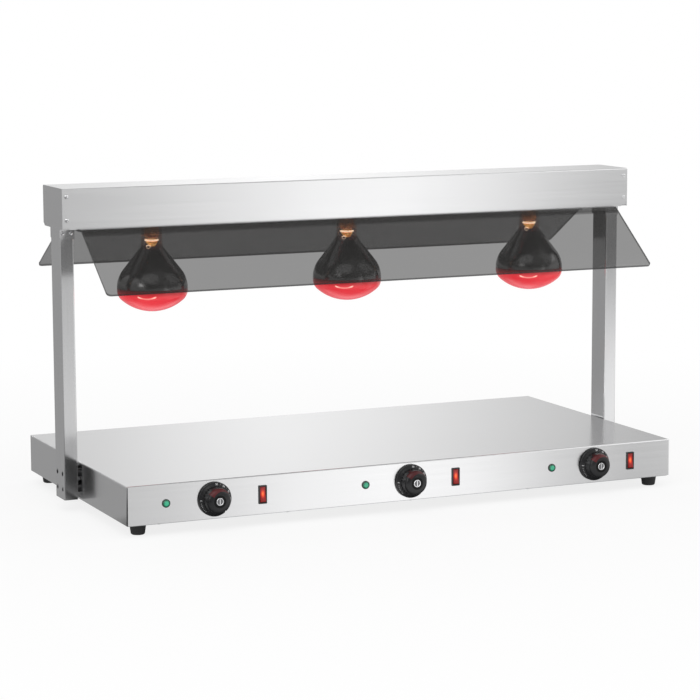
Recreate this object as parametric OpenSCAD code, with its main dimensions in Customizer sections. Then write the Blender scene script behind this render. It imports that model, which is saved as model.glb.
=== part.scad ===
// Heat lamp gantry standing on its own three-zone hot plate.
// Origin: middle of the footprint on the floor. +X to the right, -Y to the controls, +Z up. Millimetres.

/* [Base] */
// Width of the base shell, left to right
base_w = 1050; // [1040:5:1120]
// Depth of the base shell, front to back
base_d = 545; // [535:5:600]
// Height of the folded base shell
base_h = 67; // [66:1:80]
// Thickness of the stainless sheet
sheet_t = 1.2; // [1:0.1:1.4]
// Outside radius of the folds in the sheet
fold_r = 2.5; // [2:0.1:4]
// Width of the return flange round the underside of the base shell
flange_w = 14; // [12:1:14]
// How far the base plate stays inside the edge of the shell
plate_inset = 2; // [1:0.5:3]

/* [Feet] */
// Height of a rubber foot
foot_h = 18.8; // [16:0.2:24]
// Radius of a foot where it meets the base plate
foot_top_r = 15; // [13.5:0.5:17]
// Radius of a foot at the floor
foot_bottom_r = 12; // [11:0.5:13]
// Distance from the side of the base to the centre of a foot
foot_inset_x = 28; // [24:1:30]
// Distance from the front or back of the base to the centre of a foot
foot_inset_y = 26.5; // [25:0.5:27]
// Radius of the recess for the screw head in a foot
foot_recess_r = 6; // [5:0.5:7]
// Height of the recess for the screw head in a foot
foot_recess_h = 9; // [7:0.5:11]

/* [Controls] */
// Distance from the left side of the base to the left-hand knob
knob_inset_left = 156; // [152:0.5:162]
// Distance from the right side of the base to the right-hand knob
knob_inset_right = 159; // [155:0.5:165]
// Height of the controls above the lower edge of the shell
control_rise = 33.5; // [33:0.5:34.5]
// Distance from a knob to the pilot light on its left
pilot_offset = 86.5; // [60:0.5:90]
// Distance from a knob to the switch on its right
switch_offset = 88; // [70:0.5:92]
// Distance from the right-hand knob to its switch
switch_offset_right = 75.5; // [60:0.5:85]

/* [Knob] */
// Radius of the knob's numbered flange
knob_flange_r = 29.5; // [28:0.5:31]
// Thickness of the flange at its rim
knob_flange_t = 4.2; // [3.5:0.1:5]
// Radius of the knob's grip
knob_grip_r = 22.5; // [21:0.5:23.5]
// Distance from the front panel to the front of the grip
knob_front = 27.6; // [27:0.2:30]
// Gap between the front panel and the back of the knob
knob_gap = 0.8; // [0.5:0.1:1.2]
// Depth of the rounded front of the grip
knob_dome_h = 8; // [6:0.5:9]
// Number of grooves round the grip
knob_grooves = 24; // [16:1:30]
// Radius of a groove
knob_groove_r = 1.3; // [1:0.1:1.6]
// Depth of a groove at its foot
knob_groove_depth = 1; // [0.6:0.1:1.2]
// Radius of the ring cap in the front of the grip
knob_cap_r = 6.5; // [5:0.5:7]
// Thickness of the ring cap
knob_cap_t = 1.2; // [1:0.1:1.5]
// Depth of the seat of the ring cap
knob_cap_seat = 0.8; // [0.6:0.1:0.9]
// Radius of the hollow behind the knob
knob_hollow_r = 11; // [10.5:0.5:13]
// Depth of the hollow behind the knob
knob_hollow_h = 8.4; // [8:0.1:10]

/* [Thermostat] */
// Width of the thermostat's body
stat_w = 45; // [40:1:50]
// Height of the thermostat's body
stat_h = 33; // [30:1:36]
// Depth of the thermostat's body
stat_d = 22; // [20:1:24]
// Radius of the threaded bush
bush_r = 4.9; // [4.7:0.1:5.2]
// Distance that the bush stands out of the panel
bush_out = 6; // [5.5:0.1:6.5]
// Width of the bush nut across its flats
bush_nut_af = 14; // [13:0.5:15]
// Thickness of the bush nut
bush_nut_t = 2.5; // [2:0.1:3]
// Radius of the shaft
shaft_r = 3; // [2.8:0.1:3.2]
// Depth of the flat on the shaft
shaft_flat = 0.6; // [0.4:0.1:0.9]
// Running clearance round the shaft
shaft_gap = 0.05; // [0.03:0.01:0.08]
// Distance from the panel to the front end of the shaft
shaft_out = 21.5; // [19:0.5:22]
// Depth of the shaft behind the panel's inner face
shaft_in = 14; // [10:0.5:16]
// Radius of the capillary tube
capillary_r = 0.8; // [0.6:0.1:1]
// Radius of the probe
probe_r = 2.8; // [2.5:0.1:2.8]
// Length of the probe
probe_l = 80; // [70:1:90]

/* [Pilot light] */
// Radius of the pilot light's bezel
bezel_r = 7.2; // [6.5:0.1:8]
// Thickness of the bezel
bezel_t = 1.8; // [1.5:0.1:2.2]
// Radius of the bezel's sleeve behind the panel
sleeve_r = 4.9; // [4.7:0.1:5.1]
// Length of the sleeve behind the panel
sleeve_l = 20; // [17:1:24]
// Radius of the green lens
lens_r = 5.6; // [5.4:0.1:6]
// Height of the lens above its seat
lens_h = 3.4; // [2.4:0.2:4]
// Depth of the seat of the lens
lens_seat = 1; // [0.8:0.1:1.1]
// Radius of the stem behind the lens
lens_stem_r = 4; // [3.7:0.1:4.1]
// Length of the stem behind the lens
lens_stem_l = 14; // [10:1:15]

/* [Switch] */
// Width of the switch's bezel
switch_w = 15; // [14.5:0.1:16]
// Height of the switch's bezel
switch_h = 32; // [31.6:0.1:34]
// Thickness of the bezel in front of the panel
switch_bezel_t = 1.8; // [1.5:0.1:2.2]
// Width of the switch's body behind the panel
switch_body_w = 12.8; // [12.6:0.1:13]
// Height of the switch's body behind the panel
switch_body_h = 29; // [28.8:0.1:29.4]
// Depth of the body behind the panel
switch_body_d = 24; // [22:1:26]
// Width of the rocker
rocker_w = 9.8; // [9.4:0.1:10]
// Radius of the rocker's ends about its pin
rocker_r = 13.5; // [13:0.1:13.6]
// Height of the rocker's valley above its pin
rocker_valley = 3.6; // [3.2:0.1:4.2]
// Thickness of the rocker behind its pin
rocker_back = 4; // [3:0.1:4.5]
// Tilt of the rocker away from its middle position
rocker_tilt = 8; // [6:1:10]
// Depth of the pin behind the panel's outer face
rocker_pin_depth = 2.5; // [2.2:0.1:2.8]
// Radius of the rocker's pin
rocker_pin_r = 1.5; // [1.2:0.1:1.6]
// Clearance round the rocker
rocker_gap = 0.35; // [0.3:0.05:0.4]
// Running clearance round the rocker's pin
rocker_pin_gap = 0.05; // [0.03:0.01:0.08]

/* [Heating] */
// Distance from the side of the base to the outer heater plates
heater_side = 17; // [16:1:25]
// Gap between neighbouring heater plates
heater_gap = 10; // [8:1:20]
// Thickness of a heater plate
heater_t = 2; // [1.5:0.1:2.5]
// Distance from the front of the base to the front edge of a heater plate
heater_front = 82; // [80:1:84]
// Distance from the back of the base to the rear edge of a heater plate
heater_back = 63; // [61:1:80]
// Radius of the tubular heating element
element_r = 3.25; // [3:0.05:3.5]
// Number of runs in an element
element_runs = 6; // [4:2:6]
// Distance between neighbouring runs
element_pitch = 52; // [40:1:52]
// Distance from a heater plate's edge to the bends of its element
element_margin = 30; // [28:1:50]
// Distance that the element's ends reach past the heater plate
element_tail = 6; // [4:1:8]
// Radius of an element's terminal pin
terminal_r = 1.8; // [1.5:0.1:2]
// Length of an element's terminal pin
terminal_l = 10; // [8:1:12]
// Gap between the element and what it lies against
element_gap = 0.1; // [0.1:0.05:0.3]

/* [Supply] */
// Distance from the right side of the base to the cable gland
gland_inset = 81; // [75:1:95]
// Radius of the bore for the mains cable
gland_bore_r = 4.5; // [4:0.1:5]
// Width of the gland's hexagon across its flats
gland_af = 22; // [21:0.5:24]
// Length of the hexagon outside the wall
gland_hex_l = 6; // [5:0.5:8]
// Length of the gland's cap nut
gland_cap_l = 22; // [20:0.5:24]
// Radius of the thread behind the wall
gland_thread_r = 9.8; // [9.5:0.1:10]
// Length of the thread behind the wall
gland_thread_l = 12; // [10:0.5:14]
// Thickness of the gland's lock nut
gland_nut_t = 5; // [4:0.5:6]
// Width of the terminal block, left to right
block_w = 48; // [40:1:50]
// Depth of the terminal block
block_d = 22; // [18:1:24]
// Height of the terminal block
block_h = 20; // [16:1:22]
// Distance from the terminal block to the back of the base
block_back = 36; // [34:1:38]
// Radius of the wiring loom
loom_r = 3; // [2.5:0.1:3.2]
// Radius of a single lead
lead_r = 1.5; // [1:0.1:1.6]
// Height of the loom's axis above the base plate
loom_rise = 4.6; // [4.5:0.1:5.5]

/* [Uprights] */
// Height of the beam's underside above the hot plate
serving_h = 411; // [380:1:450]
// Size of an upright, left to right
upright_w = 25; // [24:0.5:28]
// Size of an upright, front to back
upright_d = 50; // [48:1:60]
// Wall of an upright
upright_t = 1.5; // [1.2:0.1:1.8]
// Outside radius of the upright's corners
upright_r = 2; // [1.9:0.1:2.4]
// Height of the upright's lower end above the floor
upright_rise = 20.5; // [18:0.5:24]
// Thickness of the spacers between the upright and the base
spacer_t = 4; // [3:0.5:6]
// Radius of a spacer
spacer_r = 7.5; // [6:0.5:8]
// Distance between the bolts, front to back
bolt_pitch_y = 29; // [27:1:31]
// Distance between the bolts, up and down
bolt_pitch_z = 27; // [25:1:28]
// Height of the middle of the bolts above the lower edge of the shell
bolt_rise = 33; // [31:0.5:34]
// Radius of a bolt
bolt_r = 2.5; // [2.3:0.1:2.6]
// Radius of a bolt's head
bolt_head_r = 4.2; // [3.8:0.1:4.2]
// Height of a bolt's head
bolt_head_h = 4; // [3:0.5:5]
// Radius of the access holes in the upright's outer wall
access_r = 4.5; // [4.3:0.1:5]
// Radius of the hole for the lamps' supply
supply_hole_r = 4.2; // [4:0.1:4.4]

/* [Beam] */
// How far the beam reaches past the upright at each end
beam_overhang = 3.5; // [3:0.5:8]
// Depth of the beam, front to back
beam_d = 108; // [106:1:120]
// Height of the beam
beam_h = 71; // [71:1:85]
// Height of the tray's front and rear flanges
tray_flange_h = 9; // [7:0.5:9]
// Width of the end caps' flanges
cap_flange_w = 14; // [13:0.5:16]
// Distance from the beam's end to the screws in its walls
cap_screw_x = 8; // [7:0.5:9]
// Height of the lower wall screws above the beam's underside
cap_screw_low = 16.4; // [14:0.1:18]
// Distance between the lower and the upper wall screws
cap_screw_pitch = 40.6; // [36:0.1:42]
// Length of the relief notch in the beam's lower corners
notch_l = 10; // [6:0.5:12]
// Height of the relief notch
notch_h = 1.8; // [1.4:0.1:2.4]
// Depth of the bevel on the rear lower corner of an end cap
cap_bevel_d = 10; // [6:0.5:12]
// Height of the bevel on an end cap
cap_bevel_h = 5; // [3:0.5:7]
// Thickness of the stirrup bracket
bracket_t = 1.5; // [1.2:0.1:1.8]
// Height of the stirrup bracket
bracket_h = 19; // [17:0.5:22]
// Distance from the beam to the screws in the stirrup's legs
bracket_screw_drop = 8; // [7:0.5:9]
// Distance between the two screws in a leg
bracket_screw_pitch = 14.8; // [13:0.1:15]
// Length of the stirrup's tab under the beam
tab_l = 22; // [20:1:24]
// Width of the stirrup's tab
tab_w = 30; // [24:1:34]

/* [Fasteners] */
// Radius of a panel screw's shank
screw_r = 2; // [1.8:0.05:2.1]
// Radius of a panel screw's head
screw_head_r = 3.6; // [3.4:0.1:4]
// Height of a panel screw's head
screw_head_h = 2.2; // [1.8:0.1:2.6]
// Clearance round a screw or bolt in its hole
hole_gap = 0.2; // [0.1:0.05:0.3]
// Width of a panel nut across its flats
nut_af = 7; // [6:0.5:7.5]
// Thickness of a panel nut
nut_t = 3; // [2.5:0.1:3.5]
// Width across the flats of the nuts on bolts and feet
big_nut_af = 8; // [7.5:0.5:8.5]
// Thickness of the nuts on bolts and feet
big_nut_t = 4; // [3:0.5:4.5]
// Clearance between pieces that fit together
fit_gap = 0.1; // [0.05:0.05:0.2]

/* [Guards] */
// Thickness of the smoked sheet
guard_t = 4; // [3:0.5:5]
// Inside radius of the guard's bend
guard_bend_r = 4; // [3:0.5:6]
// Length of the guard's slanted face
guard_slant = 161; // [150:1:180]
// Angle of the front guard below the level
front_angle = 36.5; // [30:0.5:45]
// Angle of the rear guard below the level
rear_angle = 31; // [28:0.5:45]
// Distance from the beam's middle to the front guard's bend
front_bend_y = 62.8; // [58:0.1:66]
// Distance from the beam's middle to the rear guard's bend
rear_bend_y = 51; // [50:0.1:60]
// Distance from the beam's middle to the inner edge of a flange
guard_edge_y = 32; // [30:0.5:34]
// Distance from the beam's middle to the guard screws
guard_screw_y = 42; // [40.5:0.5:43]
// Gap between a guard's end and the stirrup beside it
guard_end_gap = 0.5; // [0.4:0.1:1]
// Radius of the guard's lower corners
guard_corner_r = 7; // [4:0.5:12]
// Distance from the guard's end to its first screw
guard_screw_inset = 62; // [50:1:70]
// Number of screws that hold a guard
guard_screws = 4; // [3:1:5]

/* [Lamp] */
// Distance from an upright to the axis of the outer lamp
lamp_inset = 152; // [144:1:164]
// Distance from the beam's underside to the bottom of a lamp
lamp_drop = 155.5; // [150:0.5:160]
// Largest radius of a lamp
lamp_r = 62.5; // [61:0.5:64]
// Radius of the rounded edge below the widest part
lamp_edge_r = 22; // [20:0.5:24]
// Height of the rounded edge's centre above the lamp's bottom
lamp_edge_z = 37.5; // [37:0.5:40]
// Height of the straight band at the widest part
lamp_band = 5; // [4:0.5:7]
// Radius of the shoulder above the widest part
lamp_shoulder_r = 50; // [48:0.5:52]
// Half angle of the lamp's cone
lamp_cone_angle = 38; // [37:0.5:39]
// Radius of the lamp's neck
lamp_neck_r = 18.5; // [18:0.1:19]
// Radius of the hollow curve between cone and neck
lamp_throat_r = 18; // [15:0.5:20]
// Thickness of the glass
glass_t = 1.1; // [0.9:0.1:1.3]
// Distance from the beam's underside up to the lamp's cap
cap_rise = 9; // [8:0.5:10]
// Radius of the lamp's screw cap
cap_r = 13.2; // [13.1:0.02:13.26]
// Length of the lamp's screw cap
cap_l = 27; // [26:0.5:28]
// Pitch of the cap's thread
thread_pitch = 3.63; // [3.5:0.01:3.8]
// Depth of the cap's thread
thread_depth = 0.8; // [0.5:0.05:1]
// Clearance round the cap in its socket
socket_gap = 0.08; // [0.04:0.01:0.1]
// Outside radius of the lamp socket
socket_r = 20; // [18:0.5:21]
// Height of the lamp socket
socket_h = 46; // [44:0.5:47]
// How far the socket's mouth lies above the lower rim of the cap
socket_lift = 3; // [2:0.5:4]
// Half width of the socket bracket
hanger_x = 32; // [30:0.5:34]
// Depth of the socket bracket
hanger_d = 28; // [24:1:30]
// Length of the socket bracket's feet
hanger_foot_l = 12; // [11:0.5:14]
// Clearance round the lamp's neck in the tray
lamp_hole_gap = 3.5; // [2:0.5:5]

/* [Hidden] */
$fn = 64;

// Overshoot of a cut past the face that it opens
cut = 0.5;
left = 0;
centre = 1;
right = 2;
zones = [left, centre, right];
sides = [-1, 1];

// Heights
shell_z = foot_h + sheet_t;
base_top = shell_z + base_h;
ceiling_z = base_top - sheet_t;
plate_top = shell_z;
control_z = shell_z + control_rise;
beam_z = base_top + serving_h;
tray_top = beam_z + sheet_t;

// Places across the base
panel_y = -base_d / 2;
panel_in_y = panel_y + sheet_t;
knob_pitch = (base_w - knob_inset_left - knob_inset_right) / (len(zones) - 1);
knob_x = [for (k = zones) -base_w / 2 + knob_inset_left + k * knob_pitch];
pilot_x = [for (k = zones) knob_x[k] - pilot_offset];
switch_x = [for (k = zones) knob_x[k] + (k == right ? switch_offset_right : switch_offset)];
heater_w = (base_w - 2 * heater_side - (len(zones) - 1) * heater_gap) / len(zones);
heater_x = [for (k = zones) (k - 1) * (heater_w + heater_gap)];
gland_x = base_w / 2 - gland_inset;
foot_x = base_w / 2 - foot_inset_x;
foot_y = base_d / 2 - foot_inset_y;

// Uprights and beam
upright_x0 = base_w / 2 + spacer_t;
upright_x1 = upright_x0 + upright_w;
upright_xc = (upright_x0 + upright_x1) / 2;
beam_x = upright_x1 + beam_overhang;
beam_inner_x = beam_x - sheet_t;
bolt_z = shell_z + bolt_rise;
guard_x = upright_x0 - bracket_t - guard_end_gap;
lamp_x = [for (k = zones) (k - 1) * (upright_x0 - lamp_inset)];

// Heating
heater_d = base_d - heater_front - heater_back;
heater_y0 = panel_y + heater_front;
heater_y1 = heater_y0 + heater_d;
heater_z = ceiling_z - heater_t;
element_z = heater_z - element_gap - element_r;
insulation_top = element_z - element_r - element_gap;
insulation_inset = 5;

// Screw places in the base plate
plate_screw_count = 5;
plate_screw_x = (base_w - 2 * foot_inset_x - 4 * foot_top_r) / 2;
plate_screw_y = base_d / 2 - flange_w / 2;
plate_screw_l = 6;
foot_screw_r = bolt_r;
foot_screw_head_gap = 1;
foot_screw_head_r = foot_recess_r - foot_screw_head_gap;
foot_screw_head_h = 3.2;
foot_screw_spare = 2;

// Lamp heights
lamp_bottom = beam_z - lamp_drop;
lamp_edge_x = lamp_r - lamp_edge_r;
lamp_edge_zc = lamp_bottom + lamp_edge_z;
lamp_dome_r = (pow(lamp_edge_x, 2) + pow(lamp_edge_z, 2) - pow(lamp_edge_r, 2))
    / (2 * (lamp_edge_z - lamp_edge_r));
lamp_dome_zc = lamp_bottom + lamp_dome_r;
lamp_shoulder_x = lamp_r - lamp_shoulder_r;
lamp_shoulder_zc = lamp_edge_zc + lamp_band;
lamp_throat_x = lamp_neck_r + lamp_throat_r;
lamp_throat_zc = lamp_shoulder_zc
    + (lamp_shoulder_r + lamp_throat_r + (lamp_shoulder_x - lamp_throat_x) * cos(lamp_cone_angle))
    / sin(lamp_cone_angle);
cap_z = beam_z + cap_rise;
cap_top = cap_z + cap_l;
neck_shoulder_h = 7;
neck_top = cap_z - neck_shoulder_h;
cap_lip = 1;
socket_z = cap_z + socket_lift;
socket_top = socket_z + socket_h;
socket_bevel = 2;
socket_taper_h = 12;
socket_taper = 4;
socket_screw_l = 5;
hanger_t = 1.5;
lamp_hole_r = lamp_neck_r + lamp_hole_gap;

// Knob
knob_skirt_h = 3;
knob_bevel = 0.8;
knob_taper = 1;
knob_dome_steps = 12;
knob_front_r = 8;

// Bevel round the head of a screw
head_bevel = 0.9;

// Hexagon outline with a given width across its flats
module hexagon(af) {
    circle(d = af / cos(30), $fn = 6);
}

// Rectangle with rounded corners, centred
module rounded_rect(w, d, r) {
    square([w - 2 * r, d], center = true);
    square([w, d - 2 * r], center = true);
    for (x = sides, y = sides) translate([x * (w / 2 - r), y * (d / 2 - r)]) circle(r = r);
}

// Rectangle standing on its base with its two upper corners rounded
module arch(w, h, r) {
    translate([-w / 2, 0]) square([w, h - r]);
    translate([-w / 2 + r, 0]) square([w - 2 * r, h]);
    for (x = sides) translate([x * (w / 2 - r), h - r]) circle(r = r);
}

// Box with rounded upright corners and rounded top edges
module fold_box(w, d, h, r) {
    intersection() {
        linear_extrude(h) rounded_rect(w, d, r);
        translate([0, d / 2, 0]) rotate([90, 0, 0]) linear_extrude(d) arch(w, h, r);
        translate([-w / 2, 0, 0]) rotate([90, 0, 90]) linear_extrude(w) arch(d, h, r);
    }
}

// Round bar along X, Y or Z from one coordinate to another
module x_bar(x0, x1, y, z, r) {
    translate([min(x0, x1), y, z]) rotate([0, 90, 0]) cylinder(h = abs(x1 - x0), r = r);
}
module y_bar(y0, y1, x, z, r) {
    translate([x, min(y0, y1), z]) rotate([-90, 0, 0]) cylinder(h = abs(y1 - y0), r = r);
}
module z_bar(z0, z1, x, y, r) {
    translate([x, y, min(z0, z1)]) cylinder(h = abs(z1 - z0), r = r);
}

// Hexagon nut on a shaft of radius r, standing up from z = 0
module nut(af, t, r) {
    difference() {
        linear_extrude(t) hexagon(af);
        translate([0, 0, -cut]) cylinder(h = t + 2 * cut, r = r + fit_gap);
    }
}

// Pan-head screw, head below z = 0 and shank standing up to length l
module pan_screw(l, r = screw_r, head_r = screw_head_r, head_h = screw_head_h) {
    rotate_extrude() polygon([
        [0, -head_h], [head_r - head_bevel, -head_h], [head_r, -head_h + head_bevel],
        [head_r, 0], [r, 0], [r, l], [0, l]
    ]);
}

// Moves a piece drawn outward along +Z onto the front panel
module on_panel(x) {
    translate([x, panel_y, control_z]) rotate([90, 0, 0]) children();
}

// Points of an arc about (cx, cz), from angle a0 to a1
function arc(cx, cz, r, a0, a1, steps) =
    [for (i = [0:steps]) let (a = a0 + (a1 - a0) * i / steps) [cx + r * cos(a), cz + r * sin(a)]];

// Wire that follows points, with round corners
module wire(points, r) {
    $fn = 16;
    for (i = [0:len(points) - 2]) {
        step = points[i + 1] - points[i];
        reach = norm(step);
        if (reach > 0)
            translate(points[i])
                rotate([0, acos(step[2] / reach), atan2(step[1], step[0])])
                cylinder(h = reach, r = r);
    }
    if (len(points) > 2) {
        for (i = [1:len(points) - 2]) translate(points[i]) sphere(r = r);
    }
}

// Base shell
gland_hole_r = gland_thread_r + hole_gap;
bush_hole_r = bush_r + hole_gap;
sleeve_hole_r = sleeve_r + hole_gap;
bolt_hole_r = bolt_r + hole_gap;
screw_hole_r = screw_r + hole_gap;
switch_cut_w = switch_body_w + 2 * hole_gap;
switch_cut_h = switch_body_h + 2 * hole_gap;

module at_bolts() {
    for (y = sides, z = sides) translate([0, y * bolt_pitch_y / 2, bolt_z + z * bolt_pitch_z / 2]) children();
}

module at_plate_screws() {
    for (i = [0:plate_screw_count - 1], s = sides)
        translate([-plate_screw_x + i * 2 * plate_screw_x / (plate_screw_count - 1), s * plate_screw_y, 0])
            children();
}

module at_feet() {
    for (x = sides, y = sides) translate([x * foot_x, y * foot_y, 0]) children();
}

module base_shell() {
    color("#c9c9c8")
    difference() {
        translate([0, 0, shell_z]) fold_box(base_w, base_d, base_h, fold_r);
        translate([0, 0, shell_z + sheet_t])
            fold_box(base_w - 2 * sheet_t, base_d - 2 * sheet_t, base_h - 2 * sheet_t, fold_r - sheet_t);
        translate([0, 0, shell_z - cut])
            linear_extrude(sheet_t + 2 * cut)
            square([base_w - 2 * flange_w, base_d - 2 * flange_w], center = true);
        for (k = zones) {
            y_bar(panel_y - cut, panel_in_y + cut, pilot_x[k], control_z, sleeve_hole_r);
            y_bar(panel_y - cut, panel_in_y + cut, knob_x[k], control_z, bush_hole_r);
            on_panel(switch_x[k])
                translate([0, 0, -sheet_t - cut])
                linear_extrude(sheet_t + 2 * cut)
                square([switch_cut_w, switch_cut_h], center = true);
        }
        y_bar(-panel_in_y - cut, -panel_y + cut, gland_x, control_z, gland_hole_r);
        for (s = sides) {
            at_bolts() x_bar(s * (base_w / 2 - sheet_t - cut), s * (base_w / 2 + cut), 0, 0, bolt_hole_r);
            x_bar(s * (base_w / 2 - sheet_t - cut), s * (base_w / 2 + cut), 0, bolt_z, supply_hole_r);
        }
        at_plate_screws() z_bar(shell_z - cut, shell_z + sheet_t + cut, 0, 0, screw_hole_r);
    }
}

module base_plate() {
    color("#a9abad")
    difference() {
        translate([0, 0, foot_h])
            linear_extrude(sheet_t)
            rounded_rect(base_w - 2 * plate_inset, base_d - 2 * plate_inset, fold_r);
        at_plate_screws() z_bar(foot_h - cut, shell_z + cut, 0, 0, screw_hole_r);
        at_feet() z_bar(foot_h - cut, shell_z + cut, 0, 0, foot_screw_r + hole_gap);
    }
}

module base_screws() {
    color("#8f9193") {
        at_plate_screws() translate([0, 0, foot_h]) pan_screw(2 * sheet_t + plate_screw_l);
        at_feet() {
            translate([0, 0, foot_recess_h])
                pan_screw(
                    foot_h - foot_recess_h + sheet_t + big_nut_t + foot_screw_spare,
                    foot_screw_r, foot_screw_head_r, foot_screw_head_h
                );
            translate([0, 0, plate_top]) nut(big_nut_af, big_nut_t, foot_screw_r);
        }
    }
}

// Feet
foot_rim = 1.5;

module foot(x, y) {
    color("#1d1d1f")
    translate([x * foot_x, y * foot_y, 0])
        difference() {
            rotate_extrude() polygon([
                [0, 0], [foot_bottom_r - foot_rim, 0], [foot_bottom_r, foot_rim],
                [foot_top_r - foot_rim / 2, foot_h - foot_rim], [foot_top_r, foot_h], [0, foot_h]
            ]);
            translate([0, 0, -cut]) cylinder(h = foot_recess_h + cut, r = foot_recess_r);
            cylinder(h = foot_h + cut, r = foot_screw_r + hole_gap);
        }
}

// Heating
module insulation_slabs() {
    color("#d8cfa8")
    for (k = zones)
        translate([heater_x[k] - heater_w / 2, heater_y0 + insulation_inset, plate_top])
            cube([heater_w, heater_d - 2 * insulation_inset, insulation_top - plate_top]);
}

module heater_plates() {
    color("#b8babd")
    for (k = zones)
        translate([heater_x[k] - heater_w / 2, heater_y0, heater_z]) cube([heater_w, heater_d, heater_t]);
}

bend_y0 = heater_y0 + element_margin + element_pitch / 2;
bend_y1 = heater_y1 - element_margin - element_pitch / 2;
tail_y = heater_y0 - element_tail;

module heating_element(xc) {
    translate([xc - (element_runs - 1) * element_pitch / 2, 0, 0]) {
        for (i = [0:element_runs - 1]) {
            outer_run = i == 0 || i == element_runs - 1;
            y_bar(outer_run ? tail_y : bend_y0, bend_y1, i * element_pitch, element_z, element_r);
        }
        for (i = [0:element_runs - 2])
            translate([(i + 0.5) * element_pitch, i % 2 == 0 ? bend_y1 : bend_y0, element_z])
                rotate([0, 0, i % 2 == 0 ? 0 : 180])
                rotate_extrude(angle = 180)
                translate([element_pitch / 2, 0]) circle(r = element_r);
        for (i = [0, element_runs - 1])
            y_bar(tail_y - terminal_l, tail_y, i * element_pitch, element_z, terminal_r);
    }
}

module heating_elements() {
    color("#6d6f72")
    for (k = zones) heating_element(heater_x[k]);
}

// Thermostats
stat_back = -sheet_t - stat_d;
stat_bore_end = -sheet_t - shaft_in - cut;

module thermostats() {
    color("#e6e2d6")
    for (k = zones) on_panel(knob_x[k]) {
        difference() {
            union() {
                translate([-stat_w / 2, -stat_h / 2, stat_back]) cube([stat_w, stat_h, stat_d]);
                translate([0, 0, -sheet_t - cut]) cylinder(h = sheet_t + cut + bush_out, r = bush_r);
            }
            translate([0, 0, stat_bore_end])
                cylinder(h = bush_out - stat_bore_end + cut, r = shaft_r + shaft_gap);
        }
        nut(bush_nut_af, bush_nut_t, bush_r);
    }
}

probe_z = heater_z - element_gap - probe_r;
probe_y0 = heater_y0 + 2 * insulation_inset;
capillary_y = heater_y0 - 2 * insulation_inset;
capillary_exit = 12;

module thermostat_probes() {
    color("#b87333")
    for (k = zones) {
        y_bar(probe_y0, probe_y0 + probe_l, heater_x[k], probe_z, probe_r);
        wire([
            [knob_x[k], panel_y - stat_back, control_z],
            [knob_x[k], panel_y - stat_back + capillary_exit, control_z],
            [heater_x[k], panel_y - stat_back + capillary_exit, control_z],
            [heater_x[k], capillary_y, control_z],
            [heater_x[k], capillary_y, probe_z],
            [heater_x[k], probe_y0 + cut, probe_z]
        ], capillary_r);
    }
}

module thermostat_shaft(k) {
    color("#9a9c9e")
    on_panel(knob_x[k])
        difference() {
            translate([0, 0, -sheet_t - shaft_in]) cylinder(h = shaft_out + sheet_t + shaft_in, r = shaft_r);
            translate([-shaft_r, shaft_r - shaft_flat, bush_out])
                cube([2 * shaft_r, shaft_r, shaft_out]);
        }
}

// Knobs
knob_back_z = knob_gap;
knob_skirt_z = knob_back_z + knob_flange_t;
knob_grip_z = knob_skirt_z + knob_skirt_h;
knob_side_z = knob_front - knob_dome_h;
knob_dome_r = knob_grip_r - knob_taper;
knob_seat_z = knob_front - knob_cap_seat;
cap_rim_w = 1.4;
cap_rim_bevel = 0.3;
cap_dish = 0.4;
notch_angle = -50;
rim_notch_r = 1.6;

module knob_outline() {
    polygon(concat(
        [
            [0, knob_back_z], [knob_flange_r - knob_bevel, knob_back_z],
            [knob_flange_r, knob_back_z + knob_bevel], [knob_flange_r, knob_skirt_z - knob_bevel],
            [knob_flange_r - knob_bevel, knob_skirt_z], [knob_grip_r + knob_taper, knob_grip_z]
        ],
        [for (i = [0:knob_dome_steps]) let (a = 90 * i / knob_dome_steps) [
            knob_front_r + (knob_dome_r - knob_front_r) * cos(a),
            knob_side_z + knob_dome_h * sin(a)
        ]],
        [[0, knob_front]]
    ));
}

module knob(k) {
    color("#202022")
    on_panel(knob_x[k])
        difference() {
            rotate_extrude() knob_outline();
            translate([0, 0, knob_back_z - cut]) cylinder(h = knob_hollow_h + cut, r = knob_hollow_r);
            translate([0, 0, knob_seat_z]) cylinder(h = knob_cap_seat + cut, r = knob_cap_r + fit_gap);
            difference() {
                cylinder(h = shaft_out + fit_gap, r = shaft_r + shaft_gap);
                translate([-shaft_r, shaft_r - shaft_flat + shaft_gap, 0])
                    cube([2 * shaft_r, shaft_r, knob_front]);
            }
            for (i = [0:knob_grooves - 1])
                rotate([0, 0, (i + 0.5) * 360 / knob_grooves])
                translate([knob_grip_r + knob_taper + knob_groove_r - knob_groove_depth, 0, knob_grip_z])
                cylinder(h = knob_front, r = knob_groove_r, $fn = 24);
            rotate([0, 0, notch_angle])
                translate([knob_flange_r, 0, knob_back_z - cut])
                cylinder(h = knob_flange_t + 2 * cut, r = rim_notch_r, $fn = 24);
        }
}

module knob_cap(k) {
    color("#c4c6c8")
    on_panel(knob_x[k])
        translate([0, 0, knob_seat_z])
        rotate_extrude() polygon([
            [0, 0], [knob_cap_r, 0], [knob_cap_r, knob_cap_t - cap_rim_bevel],
            [knob_cap_r - cap_rim_bevel, knob_cap_t], [knob_cap_r - cap_rim_w, knob_cap_t],
            [knob_cap_r - cap_rim_w - cap_rim_bevel, knob_cap_t - cap_dish], [0, knob_cap_t - cap_dish]
        ]);
}

// Pilot lights
bezel_bevel = 0.5;
lens_seat_z = bezel_t - lens_seat;
lens_dome_h = lens_h - lens_seat;
lens_dome_r = (pow(lens_r, 2) + pow(lens_dome_h, 2)) / (2 * lens_dome_h);
lens_edge_angle = asin((lens_dome_r - lens_dome_h) / lens_dome_r);
lens_steps = 8;

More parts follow.
